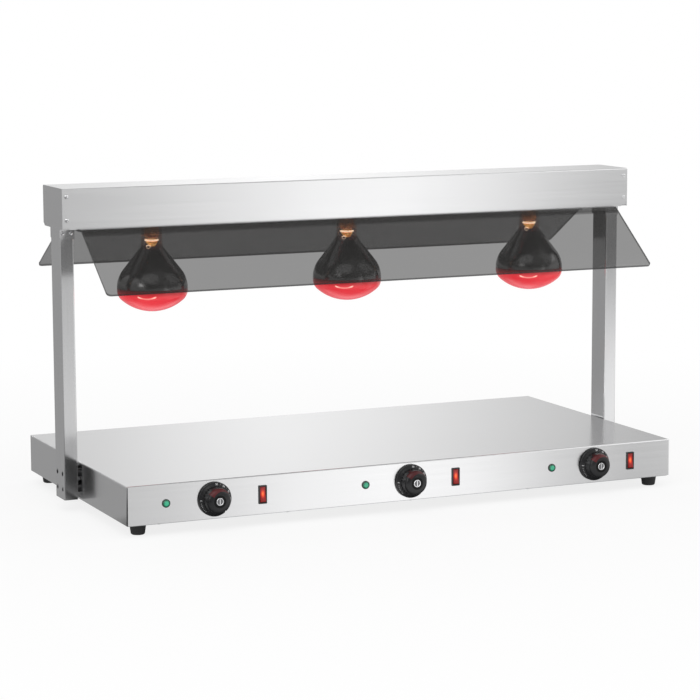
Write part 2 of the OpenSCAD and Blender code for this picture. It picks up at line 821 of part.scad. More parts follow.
module pilot_bezels() {
    color("#2a2c2b")
    for (k = zones) on_panel(pilot_x[k])
        difference() {
            rotate_extrude() polygon([
                [0, -sleeve_l], [sleeve_r, -sleeve_l], [sleeve_r, 0], [bezel_r, 0],
                [bezel_r, bezel_t - bezel_bevel], [bezel_r - bezel_bevel, bezel_t], [0, bezel_t]
            ]);
            translate([0, 0, -sleeve_l - cut])
                cylinder(h = sleeve_l + bezel_t + 2 * cut, r = lens_stem_r + fit_gap);
            translate([0, 0, lens_seat_z]) cylinder(h = bezel_t, r = lens_r + fit_gap);
        }
}

module pilot_lens(k) {
    color("#2f8f57")
    on_panel(pilot_x[k])
        rotate_extrude() polygon(concat(
            [
                [0, lens_seat_z - lens_stem_l], [lens_stem_r, lens_seat_z - lens_stem_l],
                [lens_stem_r, lens_seat_z], [lens_r, lens_seat_z]
            ],
            arc(0, bezel_t + lens_dome_h - lens_dome_r, lens_dome_r, lens_edge_angle, 90, lens_steps)
        ));
}

// Switches
well_w = rocker_w + 2 * rocker_gap;
well_h = 2 * (rocker_r + rocker_gap);
well_spare = 2.5;
well_depth = rocker_pin_depth + rocker_back + well_spare;
pin_reach = switch_body_w / 2 - fit_gap;
switch_corner_r = 1;
tab_t = 0.8;
tab_h = 6.3;
tab_pitch = 9;
switch_tab_l = 8;

module switch_housing(k) {
    color("#1b1b1d")
    on_panel(switch_x[k]) {
        difference() {
            union() {
                linear_extrude(switch_bezel_t) rounded_rect(switch_w, switch_h, switch_corner_r);
                translate([-switch_body_w / 2, -switch_body_h / 2, -switch_body_d])
                    cube([switch_body_w, switch_body_h, switch_body_d]);
            }
            translate([-well_w / 2, -well_h / 2, -well_depth])
                cube([well_w, well_h, well_depth + switch_bezel_t + cut]);
            x_bar(
                -switch_body_w / 2 - cut, switch_body_w / 2 + cut, 0,
                -rocker_pin_depth, rocker_pin_r + rocker_pin_gap
            );
        }
        for (i = [-1, 0, 1])
            translate([-tab_t / 2, i * tab_pitch - tab_h / 2, -switch_body_d - switch_tab_l])
                cube([tab_t, tab_h, switch_tab_l]);
    }
}

module switch_rocker(k) {
    color("#d8341c")
    on_panel(switch_x[k])
        translate([0, 0, -rocker_pin_depth])
        rotate([-rocker_tilt, 0, 0]) {
            intersection() {
                x_bar(-rocker_w / 2, rocker_w / 2, 0, 0, rocker_r);
                translate([-rocker_w / 2, 0, 0])
                    rotate([90, 0, 90])
                    linear_extrude(rocker_w)
                    polygon([
                        [-rocker_r, -rocker_back], [rocker_r, -rocker_back],
                        [rocker_r, rocker_valley + rocker_r * tan(rocker_tilt)], [0, rocker_valley],
                        [-rocker_r, rocker_valley + rocker_r * tan(rocker_tilt)]
                    ]);
            }
            x_bar(-pin_reach, pin_reach, 0, 0, rocker_pin_r);
        }
}

// Supply
gland_bevel = 1;
gland_cap_r = gland_af / 2 - gland_bevel;
gland_lip_w = 4;
gland_tip_r = gland_bore_r + gland_lip_w;
gland_end = gland_hex_l + gland_cap_l;

module cable_gland() {
    color("#3a3b3d")
    translate([gland_x, -panel_y, control_z]) rotate([-90, 0, 0]) {
        difference() {
            union() {
                linear_extrude(gland_hex_l) hexagon(gland_af);
                translate([0, 0, -gland_thread_l]) cylinder(h = gland_thread_l, r = gland_thread_r);
                rotate_extrude() polygon([
                    [0, gland_hex_l], [gland_cap_r, gland_hex_l],
                    [gland_cap_r, gland_hex_l + gland_cap_l / 2],
                    [gland_tip_r, gland_end - gland_bevel],
                    [gland_tip_r - gland_bevel, gland_end], [0, gland_end]
                ]);
            }
            translate([0, 0, -gland_thread_l - cut])
                cylinder(h = gland_thread_l + gland_end + 2 * cut, r = gland_bore_r);
        }
        translate([0, 0, -sheet_t - gland_nut_t]) nut(gland_af, gland_nut_t, gland_thread_r);
    }
}

block_y = base_d / 2 - block_back - block_d / 2;
block_ways = 3;
block_well_r = 2.4;
block_well_h = 6;

module terminal_block() {
    color("#e9e7df")
    difference() {
        translate([gland_x - block_w / 2, block_y - block_d / 2, plate_top])
            cube([block_w, block_d, block_h]);
        for (i = [0:block_ways - 1], s = sides)
            z_bar(
                plate_top + block_h - block_well_h, plate_top + block_h + cut,
                gland_x + (i - 1) * block_w / block_ways, block_y + s * block_d / 4, block_well_r
            );
    }
}

loom_z = plate_top + loom_rise;
loom_gap = 0.5;
loom_side_gap = 8;
loom_y = panel_y + flange_w + loom_r + loom_gap;
loom_x = base_w / 2 - loom_r - loom_side_gap;
loom_start_x = heater_x[left] - (element_runs - 1) * element_pitch / 2 - loom_r;
loom_clearance = 3;
beam_loom_y = lamp_hole_r + loom_r + loom_clearance;
beam_loom_z = tray_top + sheet_t + loom_r + 2 * fit_gap;
socket_lead_z = socket_top - socket_taper_h - loom_r;
heater_lead_gap = 4;
heater_lead_y = tail_y - terminal_l - heater_lead_gap;

module wiring() {
    color("#4a4a4c") {
        wire([
            [loom_start_x, loom_y, loom_z], [loom_x, loom_y, loom_z], [loom_x, block_y, loom_z],
            [gland_x + block_w / 2 + fit_gap, block_y, loom_z]
        ], loom_r);
        wire([
            [gland_x, base_d / 2 - gland_thread_l - fit_gap, control_z], [gland_x, block_y, control_z],
            [gland_x, block_y, plate_top + block_h + fit_gap]
        ], loom_r);
        for (k = zones) {
            wire([
                [pilot_x[k], loom_y, loom_z], [pilot_x[k], loom_y, control_z - sleeve_r - fit_gap]
            ], lead_r);
            wire([
                [knob_x[k], loom_y, loom_z], [knob_x[k], loom_y, control_z - stat_h / 2 - fit_gap]
            ], lead_r);
            wire([
                [switch_x[k], loom_y, loom_z], [switch_x[k], loom_y, control_z - switch_body_h / 2 - fit_gap]
            ], lead_r);
            for (s = sides) {
                lead_x = heater_x[k] + s * (element_runs - 1) * element_pitch / 2;
                wire([
                    [lead_x, loom_y, loom_z], [lead_x, heater_lead_y, loom_z],
                    [lead_x, heater_lead_y, element_z], [lead_x, tail_y - terminal_l - fit_gap, element_z]
                ], lead_r);
            }
        }
        wire([
            [loom_x, 0, loom_z], [loom_x, 0, bolt_z], [upright_xc, 0, bolt_z], [upright_xc, 0, beam_loom_z],
            [upright_xc, beam_loom_y, beam_loom_z], [lamp_x[left], beam_loom_y, beam_loom_z],
            [lamp_x[left], beam_loom_y, socket_lead_z], [lamp_x[left], socket_r + fit_gap, socket_lead_z]
        ], loom_r);
        for (k = [centre, right])
            wire([
                [lamp_x[k], beam_loom_y, beam_loom_z], [lamp_x[k], beam_loom_y, socket_lead_z],
                [lamp_x[k], socket_r + fit_gap, socket_lead_z]
            ], loom_r);
    }
}

// Uprights
module upright(side) {
    color("#bfc0c0")
    difference() {
        translate([side * upright_xc, 0, upright_rise])
            linear_extrude(beam_z - upright_rise)
            difference() {
                rounded_rect(upright_w, upright_d, upright_r);
                rounded_rect(upright_w - 2 * upright_t, upright_d - 2 * upright_t, upright_r - upright_t);
            }
        at_bolts() {
            x_bar(side * (upright_x0 - cut), side * (upright_x0 + upright_t + cut), 0, 0, bolt_hole_r);
            x_bar(side * (upright_x1 - upright_t - cut), side * (upright_x1 + cut), 0, 0, access_r);
        }
        x_bar(side * (upright_x0 - cut), side * (upright_x0 + upright_t + cut), 0, bolt_z, supply_hole_r);
        for (x = sides)
            y_bar(
                -upright_d / 2 - cut, upright_d / 2 + cut, side * (upright_xc + x * bracket_screw_pitch / 2),
                beam_z - bracket_screw_drop, screw_hole_r
            );
    }
}

module upright_spacers() {
    color("#b0b2b4")
    for (s = sides)
        at_bolts()
            difference() {
                x_bar(s * base_w / 2, s * upright_x0, 0, 0, spacer_r);
                x_bar(s * (base_w / 2 - cut), s * (upright_x0 + cut), 0, 0, bolt_hole_r);
            }
}

bolt_spare = 1;
bolt_key_af = 4;
bolt_end_x = base_w / 2 - sheet_t - big_nut_t - bolt_spare;
bolt_head_x = upright_x0 + upright_t;

module upright_bolts() {
    color("#7f8183")
    for (s = sides)
        at_bolts() {
            x_bar(s * bolt_end_x, s * bolt_head_x, 0, 0, bolt_r);
            difference() {
                x_bar(s * bolt_head_x, s * (bolt_head_x + bolt_head_h), 0, 0, bolt_head_r);
                translate([s * (bolt_head_x + bolt_head_h / 2), 0, 0])
                    rotate([0, s * 90, 0]) linear_extrude(bolt_head_h) hexagon(bolt_key_af);
            }
            translate([s * (base_w / 2 - sheet_t - (s > 0 ? big_nut_t : 0)), 0, 0])
                rotate([0, 90, 0]) nut(big_nut_af, big_nut_t, bolt_r);
        }
}

module stirrup(side) {
    color("#a6a8aa")
    difference() {
        union() {
            translate([side * (upright_xc - bracket_t / 2), 0, beam_z - bracket_h])
                linear_extrude(bracket_h)
                difference() {
                    square([upright_w + bracket_t, upright_d + 2 * bracket_t], center = true);
                    translate([side * (bracket_t / 2 + cut / 2), 0])
                        square([upright_w + cut, upright_d + 2 * fit_gap], center = true);
                }
            translate([side * (upright_x0 - bracket_t / 2 - tab_l / 2), 0, beam_z - bracket_t / 2])
                cube([tab_l + bracket_t, tab_w, bracket_t], center = true);
        }
        for (x = sides)
            y_bar(
                -upright_d / 2 - bracket_t - cut, upright_d / 2 + bracket_t + cut,
                side * (upright_xc + x * bracket_screw_pitch / 2), beam_z - bracket_screw_drop, screw_hole_r
            );
        z_bar(
            beam_z - bracket_t - cut, beam_z + cut,
            side * (upright_x0 - bracket_t - tab_l / 2), 0, screw_hole_r
        );
    }
}

// Beam
cap_flange_gap = 1;
cap_flange_z = tray_flange_h + sheet_t + cap_flange_gap;
guard_span = guard_x - guard_screw_inset;
hanger_screw_x = hanger_x + hanger_foot_l / 2;
cap_floor_screw_inset = 14;
cap_floor_screw_y = beam_d / 2 - cap_floor_screw_inset;

module at_wall_screws() {
    for (x = sides, z = [cap_screw_low, cap_screw_low + cap_screw_pitch])
        translate([x * (beam_x - cap_screw_x), 0, beam_z + z]) children();
}

module at_floor_screws() {
    for (x = sides, y = sides) translate([x * (beam_x - cap_screw_x), y * cap_floor_screw_y, 0]) children();
}

module at_guard_screws() {
    for (i = [0:guard_screws - 1], s = sides)
        translate([-guard_span + i * 2 * guard_span / (guard_screws - 1), s * guard_screw_y, 0]) children();
}

module at_tab_screws() {
    for (s = sides) translate([s * (upright_x0 - bracket_t - tab_l / 2), 0, 0]) children();
}

module at_hanger_screws() {
    for (k = zones, s = sides) translate([lamp_x[k] + s * hanger_screw_x, 0, 0]) children();
}

module beam_shell() {
    color("#c6c7c7")
    difference() {
        translate([-beam_inner_x, 0, beam_z])
            rotate([90, 0, 90])
            linear_extrude(2 * beam_inner_x)
            difference() {
                arch(beam_d, beam_h, fold_r);
                translate([0, -cut]) arch(beam_d - 2 * sheet_t, beam_h - sheet_t + cut, fold_r - sheet_t);
            }
        at_wall_screws()
            for (s = sides)
                y_bar(s * (beam_d / 2 - sheet_t - cut), s * (beam_d / 2 + cut), 0, 0, screw_hole_r);
        for (x = sides, y = sides)
            translate([
                x * (beam_inner_x - notch_l / 2 + cut / 2), y * (beam_d / 2 - sheet_t / 2),
                beam_z + notch_h / 2 - cut / 2
            ])
                cube([notch_l + cut, sheet_t + 2 * fit_gap, notch_h + cut], center = true);
    }
}

tray_x = beam_inner_x - fit_gap;
tray_y = beam_d / 2 - sheet_t - fit_gap;

module beam_tray() {
    color("#9fa1a2")
    difference() {
        union() {
            translate([-tray_x, -tray_y, beam_z]) cube([2 * tray_x, 2 * tray_y, sheet_t]);
            for (s = sides)
                translate([-tray_x + notch_l, s * (tray_y - sheet_t / 2) - sheet_t / 2, beam_z])
                    cube([2 * (tray_x - notch_l), sheet_t, tray_flange_h]);
        }
        for (k = zones) z_bar(beam_z - cut, tray_top + cut, lamp_x[k], 0, lamp_hole_r);
        for (s = sides) z_bar(beam_z - cut, tray_top + cut, s * upright_xc, 0, supply_hole_r);
        at_floor_screws() z_bar(beam_z - cut, tray_top + cut, 0, 0, screw_hole_r);
        at_guard_screws() z_bar(beam_z - cut, tray_top + cut, 0, 0, screw_hole_r);
        at_tab_screws() z_bar(beam_z - cut, tray_top + cut, 0, 0, screw_hole_r);
        at_hanger_screws() z_bar(beam_z - cut, tray_top + cut, 0, 0, screw_hole_r);
    }
}

module beam_end_cap(side) {
    color("#a4a5a5")
    difference() {
        union() {
            translate([side > 0 ? beam_inner_x : -beam_x, 0, beam_z])
                rotate([90, 0, 90])
                linear_extrude(sheet_t)
                difference() {
                    arch(beam_d, beam_h, fold_r);
                    polygon([
                        [beam_d / 2 - cap_bevel_d, 0], [beam_d / 2 - cap_bevel_d, -cut],
                        [beam_d / 2 + cut, -cut],
                        [beam_d / 2 + cut, cap_bevel_h], [beam_d / 2, cap_bevel_h]
                    ]);
                }
            for (s = sides)
                translate([
                    side > 0 ? beam_inner_x - cap_flange_w : -beam_inner_x,
                    s * (tray_y - sheet_t / 2) - sheet_t / 2, beam_z + cap_flange_z
                ])
                    cube([cap_flange_w, sheet_t, beam_h - cap_flange_z - sheet_t - fold_r]);
            translate([
                side > 0 ? beam_inner_x - cap_flange_w : -beam_inner_x, -tray_y + 2 * sheet_t,
                tray_top + fit_gap
            ])
                cube([cap_flange_w, 2 * (tray_y - 2 * sheet_t), sheet_t]);
        }
        at_wall_screws()
            for (s = sides)
                y_bar(s * (tray_y - sheet_t - cut), s * (tray_y + cut), 0, 0, screw_hole_r);
        at_floor_screws() z_bar(tray_top - cut, tray_top + 2 * sheet_t + cut, 0, 0, screw_hole_r);
        z_bar(tray_top - cut, tray_top + 2 * sheet_t + cut, side * upright_xc, 0, supply_hole_r);
    }
}

wall_screw_l = 6;
screw_spare = 1;
tab_screw_l = bracket_t + sheet_t + nut_t + screw_spare;
guard_screw_l = guard_t + sheet_t + nut_t + screw_spare;
hanger_screw_l = sheet_t + hanger_t + nut_t + screw_spare;

module beam_screws() {
    color("#d6d7d8") {
        at_wall_screws()
            for (s = sides) translate([0, s * beam_d / 2, 0]) rotate([s * 90, 0, 0]) pan_screw(wall_screw_l);
        at_floor_screws() translate([0, 0, beam_z]) pan_screw(wall_screw_l);
        for (side = sides, x = sides, s = sides)
            translate([
                side * (upright_xc + x * bracket_screw_pitch / 2), s * (upright_d / 2 + bracket_t),
                beam_z - bracket_screw_drop
            ])
                rotate([s * 90, 0, 0]) pan_screw(wall_screw_l);
        at_guard_screws() {
            translate([0, 0, beam_z - guard_t]) pan_screw(guard_screw_l);
            translate([0, 0, tray_top]) nut(nut_af, nut_t, screw_r);
        }
        at_tab_screws() {
            translate([0, 0, beam_z - bracket_t]) pan_screw(tab_screw_l);
            translate([0, 0, tray_top]) nut(nut_af, nut_t, screw_r);
        }
        at_hanger_screws() {
            translate([0, 0, beam_z]) pan_screw(hanger_screw_l);
            translate([0, 0, tray_top + hanger_t]) nut(nut_af, nut_t, screw_r);
        }
    }
}

// Guards
guard_outer_r = guard_bend_r + guard_t;
guard_bend_steps = 10;

// Section of a guard: level up to its bend about the origin, then slanting down to the left
module guard_section(bend_y, angle) {
    outer = arc(0, 0, guard_outer_r, 90, 90 + angle, guard_bend_steps);
    inner = arc(0, 0, guard_bend_r, 90 + angle, 90, guard_bend_steps);
    slant = [-guard_slant * cos(angle), -guard_slant * sin(angle)];
    polygon(concat(
        [[bend_y - guard_edge_y, guard_outer_r]],
        outer,
        [outer[guard_bend_steps] + slant, inner[0] + slant],
        inner,
        [[bend_y - guard_edge_y, guard_bend_r]]
    ));
}

// What is cut off a guard's lower right corner to round it
module guard_corner() {
    translate([guard_x - guard_corner_r, -guard_slant + guard_corner_r])
        difference() {
            translate([0, -guard_corner_r - cut]) square(guard_corner_r + cut);
            circle(r = guard_corner_r);
        }
}

// Guard that slants away towards -Y
module guard(bend_y, angle) {
    difference() {
        translate([-guard_x, -bend_y, beam_z - guard_outer_r])
            rotate([90, 0, 90])
            linear_extrude(2 * guard_x)
            guard_section(bend_y, angle);
        for (i = [0:guard_screws - 1])
            z_bar(
                beam_z - guard_t - cut, beam_z + cut,
                -guard_span + i * 2 * guard_span / (guard_screws - 1), -guard_screw_y, screw_hole_r
            );
        for (m = [0, 1])
            translate([0, -bend_y, beam_z - guard_outer_r])
                rotate([angle, 0, 0])
                translate([0, 0, guard_bend_r - cut])
                linear_extrude(guard_t + 2 * cut)
                mirror([m, 0]) guard_corner();
    }
}

module front_guard() {
    color("#6f6e6cb0") guard(front_bend_y, front_angle);
}

module rear_guard() {
    color("#6f6e6cb0") mirror([0, 1, 0]) guard(rear_bend_y, rear_angle);
}

// Lamps
lamp_arc_steps = 10;
lamp_dome_edge = atan2(lamp_edge_zc - lamp_dome_zc, lamp_edge_x);

// Outline of the lamp's glass, drawn in by a given distance
function lamp_outline(inset) = concat(
    arc(0, lamp_dome_zc, lamp_dome_r - inset, -90, lamp_dome_edge, lamp_arc_steps),
    arc(lamp_edge_x, lamp_edge_zc, lamp_edge_r - inset, lamp_dome_edge, 0, lamp_arc_steps),
    arc(lamp_shoulder_x, lamp_shoulder_zc, lamp_shoulder_r - inset, 0, lamp_cone_angle, lamp_arc_steps),
    arc(lamp_throat_x, lamp_throat_zc, lamp_throat_r + inset, 180 + lamp_cone_angle, 180, lamp_arc_steps),
    [[lamp_neck_r - inset, neck_top], [cap_r - cap_lip - inset, cap_z], [0, cap_z]]
);

module lamp_bulb(k) {
    color("#8c1f1f")
    translate([lamp_x[k], 0, 0])
        difference() {
            rotate_extrude() polygon(lamp_outline(0));
            rotate_extrude() polygon(lamp_outline(glass_t));
        }
}

thread_turns = 4;
thread_z = 5;
thread_samples = 4;
cap_insulator_z = thread_z + thread_turns * thread_pitch + cap_lip;
contact_r = 4.5;
contact_h = 2;

module lamp_cap(k) {
    color("#c8a24a")
    translate([lamp_x[k], 0, cap_z])
        rotate_extrude() polygon(concat(
            [[0, 0], [cap_r, 0]],
            [for (i = [0:thread_turns * thread_samples]) [
                cap_r - thread_depth * (1 - cos(360 * i / thread_samples)) / 2,
                thread_z + i * thread_pitch / thread_samples
            ]],
            [
                [cap_r - cap_lip, cap_insulator_z], [contact_r + cap_lip, cap_l - contact_h],
                [contact_r, cap_l - contact_h], [contact_r - cap_lip, cap_l], [0, cap_l]
            ]
        ));
}

stem_r = 4;
flare_r = 8;
flare_h = 10;
stem_drop = 34;
disc_r = 9.5;
disc_t = 0.6;
disc_drop = 24;
support_r = 0.8;
support_x = 12;
support_root_x = 2;
support_root_h = 3;
filament_rise = 62;
filament_z = lamp_bottom + filament_rise;
filament_r = 1.3;

module lamp_filament(k) {
    color("#c07a3c")
    translate([lamp_x[k], 0, 0]) {
        rotate_extrude() polygon([
            [0, cap_z], [flare_r, cap_z], [stem_r, cap_z - flare_h], [stem_r, cap_z - stem_drop],
            [0, cap_z - stem_drop]
        ]);
        translate([0, 0, cap_z - disc_drop]) cylinder(h = disc_t, r = disc_r);
        for (s = sides)
            wire([
                [s * support_root_x, 0, cap_z - stem_drop + support_root_h], [s * support_x, 0, filament_z]
            ], support_r);
        translate([0, 0, filament_z])
            rotate_extrude()
            translate([support_x, 0]) circle(r = filament_r, $fn = 24);
    }
}

module lamp_sockets() {
    color("#efece4")
    for (k = zones) translate([lamp_x[k], 0, 0])
        difference() {
            rotate_extrude() polygon([
                [0, socket_z], [socket_r - socket_bevel, socket_z], [socket_r, socket_z + socket_bevel],
                [socket_r, socket_top - socket_taper_h], [socket_r - socket_taper, socket_top],
                [0, socket_top]
            ]);
            z_bar(socket_z - cut, cap_top + fit_gap, 0, 0, cap_r + socket_gap);
            z_bar(socket_top - socket_screw_l - cut, socket_top + cut, 0, 0, screw_r + fit_gap);
        }
}

module lamp_hangers() {
    color("#b4b6b8")
    for (k = zones) translate([lamp_x[k], 0, 0]) {
        difference() {
            translate([-hanger_x, -hanger_d / 2, socket_top]) cube([2 * hanger_x, hanger_d, hanger_t]);
            z_bar(socket_top - cut, socket_top + hanger_t + cut, 0, 0, screw_hole_r);
        }
        for (s = sides) {
            translate([s * (hanger_x - hanger_t / 2), 0, (tray_top + socket_top + hanger_t) / 2])
                cube([hanger_t, hanger_d, socket_top + hanger_t - tray_top], center = true);
            difference() {
                translate([s * (hanger_x + hanger_foot_l / 2 - hanger_t / 2), 0, tray_top + hanger_t / 2])
                    cube([hanger_foot_l + hanger_t, hanger_d, hanger_t], center = true);
                z_bar(tray_top - cut, tray_top + hanger_t + cut, s * hanger_screw_x, 0, screw_hole_r);
            }
        }
        translate([0, 0, socket_top + hanger_t]) rotate([180, 0, 0]) pan_screw(hanger_t + socket_screw_l);
    }
}

base_shell();
base_plate();
base_screws();
foot(-1, -1);  // foot_front_left
foot(1, -1);  // foot_front_right
foot(-1, 1);  // foot_rear_left
foot(1, 1);  // foot_rear_right
insulation_slabs();
heater_plates();
heating_elements();
thermostats();
thermostat_probes();
thermostat_shaft(left);  // thermostat_shaft_left
thermostat_shaft(centre);  // thermostat_shaft_centre
thermostat_shaft(right);  // thermostat_shaft_right
knob(left);  // knob_left
knob(centre);  // knob_centre
knob(right);  // knob_right
knob_cap(left);  // knob_cap_left
knob_cap(centre);  // knob_cap_centre
knob_cap(right);  // knob_cap_right
pilot_lens(left);  // pilot_lens_left
pilot_lens(centre);  // pilot_lens_centre
pilot_lens(right);  // pilot_lens_right
pilot_bezels();
switch_housing(left);  // switch_housing_left
switch_housing(centre);  // switch_housing_centre
switch_housing(right);  // switch_housing_right
switch_rocker(left);  // switch_rocker_left
switch_rocker(centre);  // switch_rocker_centre
switch_rocker(right);  // switch_rocker_right
cable_gland();
terminal_block();
wiring();
upright(-1);  // upright_left
upright(1);  // upright_right
upright_spacers();
upright_bolts();
stirrup(-1);  // stirrup_left
stirrup(1);  // stirrup_right
beam_shell();
beam_tray();
beam_end_cap(-1);  // beam_end_cap_left
beam_end_cap(1);  // beam_end_cap_right
beam_screws();
front_guard();
rear_guard();
lamp_bulb(left);  // lamp_bulb_left
lamp_bulb(centre);  // lamp_bulb_centre
lamp_bulb(right);  // lamp_bulb_right
lamp_cap(left);  // lamp_cap_left
lamp_cap(centre);  // lamp_cap_centre
lamp_cap(right);  // lamp_cap_right
lamp_filament(left);  // lamp_filament_left
lamp_filament(centre);  // lamp_filament_centre
lamp_filament(right);  // lamp_filament_right
lamp_sockets();
lamp_hangers();
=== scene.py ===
from math import asin, atan2, ceil, cos, degrees, pi, radians, sin, sqrt

import bmesh
import bpy
from mathutils import Matrix, Vector


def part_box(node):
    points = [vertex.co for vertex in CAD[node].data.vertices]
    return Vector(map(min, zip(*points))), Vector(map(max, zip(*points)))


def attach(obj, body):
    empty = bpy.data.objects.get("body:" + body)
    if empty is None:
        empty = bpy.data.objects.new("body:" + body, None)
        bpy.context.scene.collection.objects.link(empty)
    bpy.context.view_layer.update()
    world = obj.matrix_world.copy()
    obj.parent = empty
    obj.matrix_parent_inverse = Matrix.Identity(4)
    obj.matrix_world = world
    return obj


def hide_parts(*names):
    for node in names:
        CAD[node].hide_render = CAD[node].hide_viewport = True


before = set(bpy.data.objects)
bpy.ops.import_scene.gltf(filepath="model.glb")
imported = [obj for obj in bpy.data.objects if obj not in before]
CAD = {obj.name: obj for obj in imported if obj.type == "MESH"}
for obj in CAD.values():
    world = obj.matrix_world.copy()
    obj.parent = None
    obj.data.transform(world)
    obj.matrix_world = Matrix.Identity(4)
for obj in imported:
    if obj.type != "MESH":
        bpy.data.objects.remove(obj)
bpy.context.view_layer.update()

MM = 0.001
ZONES = ("left", "centre", "right")

# Sizes in millimetres, the same as in the CAD model
BEAM_Z = 498
GUARD_HALF = 527
GUARD_T = 4
GUARD_BEND_R = 4
GUARD_SLANT = 161
GUARD_CORNER_R = 7
GUARD_FLANGE_Y = 32
LAMP_BOTTOM = 342.5
LAMP_NECK_R = 18.5
CAP_Z = 507
RUBY_TOP = 385
COAT_TOP = 452
FADE_TOP = 459


def middle(name):
    """Middle of a CAD node's box, in millimetres."""
    low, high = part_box(name)
    return (low + high) / 2 / MM


CONTROL_Z = middle("pilot_lens_left").z
PANEL_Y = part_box("base_shell")[0].y / MM


# Shader helpers. One that takes another node's output works in that node's tree.
def add(tree, kind, settings=None, inputs=None):
    """One shader node with its settings and inputs, where an input is a value or another node's output."""
    made = tree.nodes.new("ShaderNode" + kind)
    for name, value in (settings or {}).items():
        setattr(made, name, value)
    for name, value in (inputs or {}).items():
        if isinstance(value, bpy.types.NodeSocket):
            tree.links.new(value, made.inputs[name])
        else:
            made.inputs[name].default_value = value
    return made


def calculate(kind, operation, values, output):
    """Output of a node that works on numbers or vectors, at least one of them from another node."""
    tree = next(value for value in values if isinstance(value, bpy.types.NodeSocket)).id_data
    return add(tree, kind, {"operation": operation}, dict(enumerate(values))).outputs[output]


def math(operation, *values):
    return calculate("Math", operation, values, "Value")


def vector(operation, *values):
    return calculate("VectorMath", operation, values, "Vector")


def norm(value):
    return calculate("VectorMath", "LENGTH", [value], "Value")


def new_tree(name):
    material = bpy.data.materials.new(name)
    material.use_nodes = True
    material.node_tree.nodes.clear()
    return material, material.node_tree


def close_tree(tree, shader, kind="OutputMaterial"):
    output = add(tree, kind)
    tree.links.new(shader, output.inputs["Surface"])


def grey(value):
    return (value, value, value, 1)


def split(point):
    """X, Y and Z of a vector."""
    return tuple(add(point.id_data, "SeparateXYZ", inputs={"Vector": point}).outputs)


def object_space(tree):
    return add(tree, "TexCoord").outputs["Object"]


def noise_at(tree, scale, detail=3, roughness=0.6):
    """Noise in the object's own space. scale is in waves per metre, one for all axes or one for each."""
    scale = scale if isinstance(scale, tuple) else (scale,) * 3
    stretched = add(tree, "Mapping", inputs={"Vector": object_space(tree), "Scale": scale})
    made = add(tree, "TexNoise", inputs={
        "Vector": stretched.outputs["Vector"], "Scale": 1, "Detail": detail, "Roughness": roughness,
    })
    return made.outputs["Fac"]


def ramp(factor, stops):
    """Colour by factor, from a list of (position, colour)."""
    made = add(factor.id_data, "ValToRGB", inputs={"Fac": factor})
    elements = made.color_ramp.elements
    while len(elements) < len(stops):
        elements.new(0.5)
    for element, (position, colour) in zip(elements, stops):
        element.position = position
        element.color = (*colour, 1)
    return made.outputs["Color"]


def spread(value, low, high, start=0.3, end=0.7):
    """Runs from low to high, at both ends held, while the value runs from start to end."""
    made = add(value.id_data, "MapRange", inputs={
        "Value": value, "From Min": start, "From Max": end, "To Min": low, "To Max": high,
    })
    return made.outputs["Result"]


def rise(value, start, end):
    return spread(value, 0, 1, start, end)


def fall(value, start, end):
    return spread(value, 1, 0, start, end)


def height_share(tree, low, high):
    """0 below one height and 1 above another, in millimetres."""
    return rise(split(object_space(tree))[2], low * MM, high * MM)


def product(first, *others):
    for other in others:
        first = math("MULTIPLY", first, other)
    return first


def between(value, up, down):
    """Rises from 0 to 1 over one (start, end) and falls back to 0 over the other."""
    return product(rise(value, *up), fall(value, *down))


def halves(first, second):
    """Half of one value and half of another."""
    return math("MULTIPLY_ADD", first, 0.5, math("MULTIPLY", second, 0.5))


def mix(factor, first, second):
    inputs = {"Fac": factor, "Color1": first, "Color2": second}
    return add(factor.id_data, "MixRGB", inputs=inputs).outputs["Color"]


def shades(colour, tint):
    return tuple(c * (1 - tint) for c in colour), tuple(min(1, c * (1 + tint)) for c in colour)


def principled(colour, roughness, height, bump, distance, **shader):
    """Closes a material with one Principled shader. Further sockets are named with _ for a space."""
    tree = height.id_data
    relief = add(tree, "Bump", inputs={"Height": height, "Strength": bump, "Distance": distance})
    inputs = {"Base Color": colour, "Roughness": roughness, "Normal": relief.outputs["Normal"]}
    inputs.update({key.replace("_", " "): value for key, value in shader.items()})
    close_tree(tree, add(tree, "BsdfPrincipled", inputs=inputs).outputs["BSDF"])


def surface(name, colour, roughness, grain=900, tint=0.12, wear=0.06, bump=0.2, height=0.0001, **shader):
    """Moulded, cast or painted surface: fine grain in colour, roughness and bump, and soft variation."""
    material, tree = new_tree(name)
    fine = noise_at(tree, grain)
    both = halves(fine, noise_at(tree, 18, detail=2))
    dark, light = shades(colour, tint)
    rough = spread(both, max(0.02, roughness - wear), min(1, roughness + wear))
    principled(ramp(both, [(0.35, dark), (0.65, light)]), rough, fine, bump, height, **shader)
    return material


def brushed(name, along, colour=(0.7, 0.7, 0.705), roughness=0.17, lines=0.05, shadow_line=None):
    """Brushed stainless steel: long fine lines along one axis, faint rub marks and soft clouding.

    Above the given height, in millimetres, it is painted shade: the dark line of shadow in the gap between
    two sheets.
    """
    material, tree = new_tree(name)

    def lengthwise(across, lengthways, **settings):
        return noise_at(tree, tuple(lengthways if axis == along else across for axis in "XYZ"), **settings)

    streaks = lengthwise(900, 7, detail=4, roughness=0.7)
    rubbed = lengthwise(160, 2.5, detail=2)
    mixed = halves(streaks, rubbed)
    dark, light = shades(colour, 0.022)
    steel = ramp(mixed, [(0.35, dark), (0.65, light)])
    # Painted shade: above the given height the steel turns nearly black, for the shadow line under the beam.
    if shadow_line:
        steel = mix(height_share(tree, shadow_line - 0.2, shadow_line + 0.2), steel, grey(0.02))
    rough = spread(mixed, roughness, roughness + lines)
    rough = math("ADD", rough, spread(noise_at(tree, 3.2), 0, 0.03))
    principled(steel, rough, mixed, 0.03, 0.00005, Metallic=1)
    return material


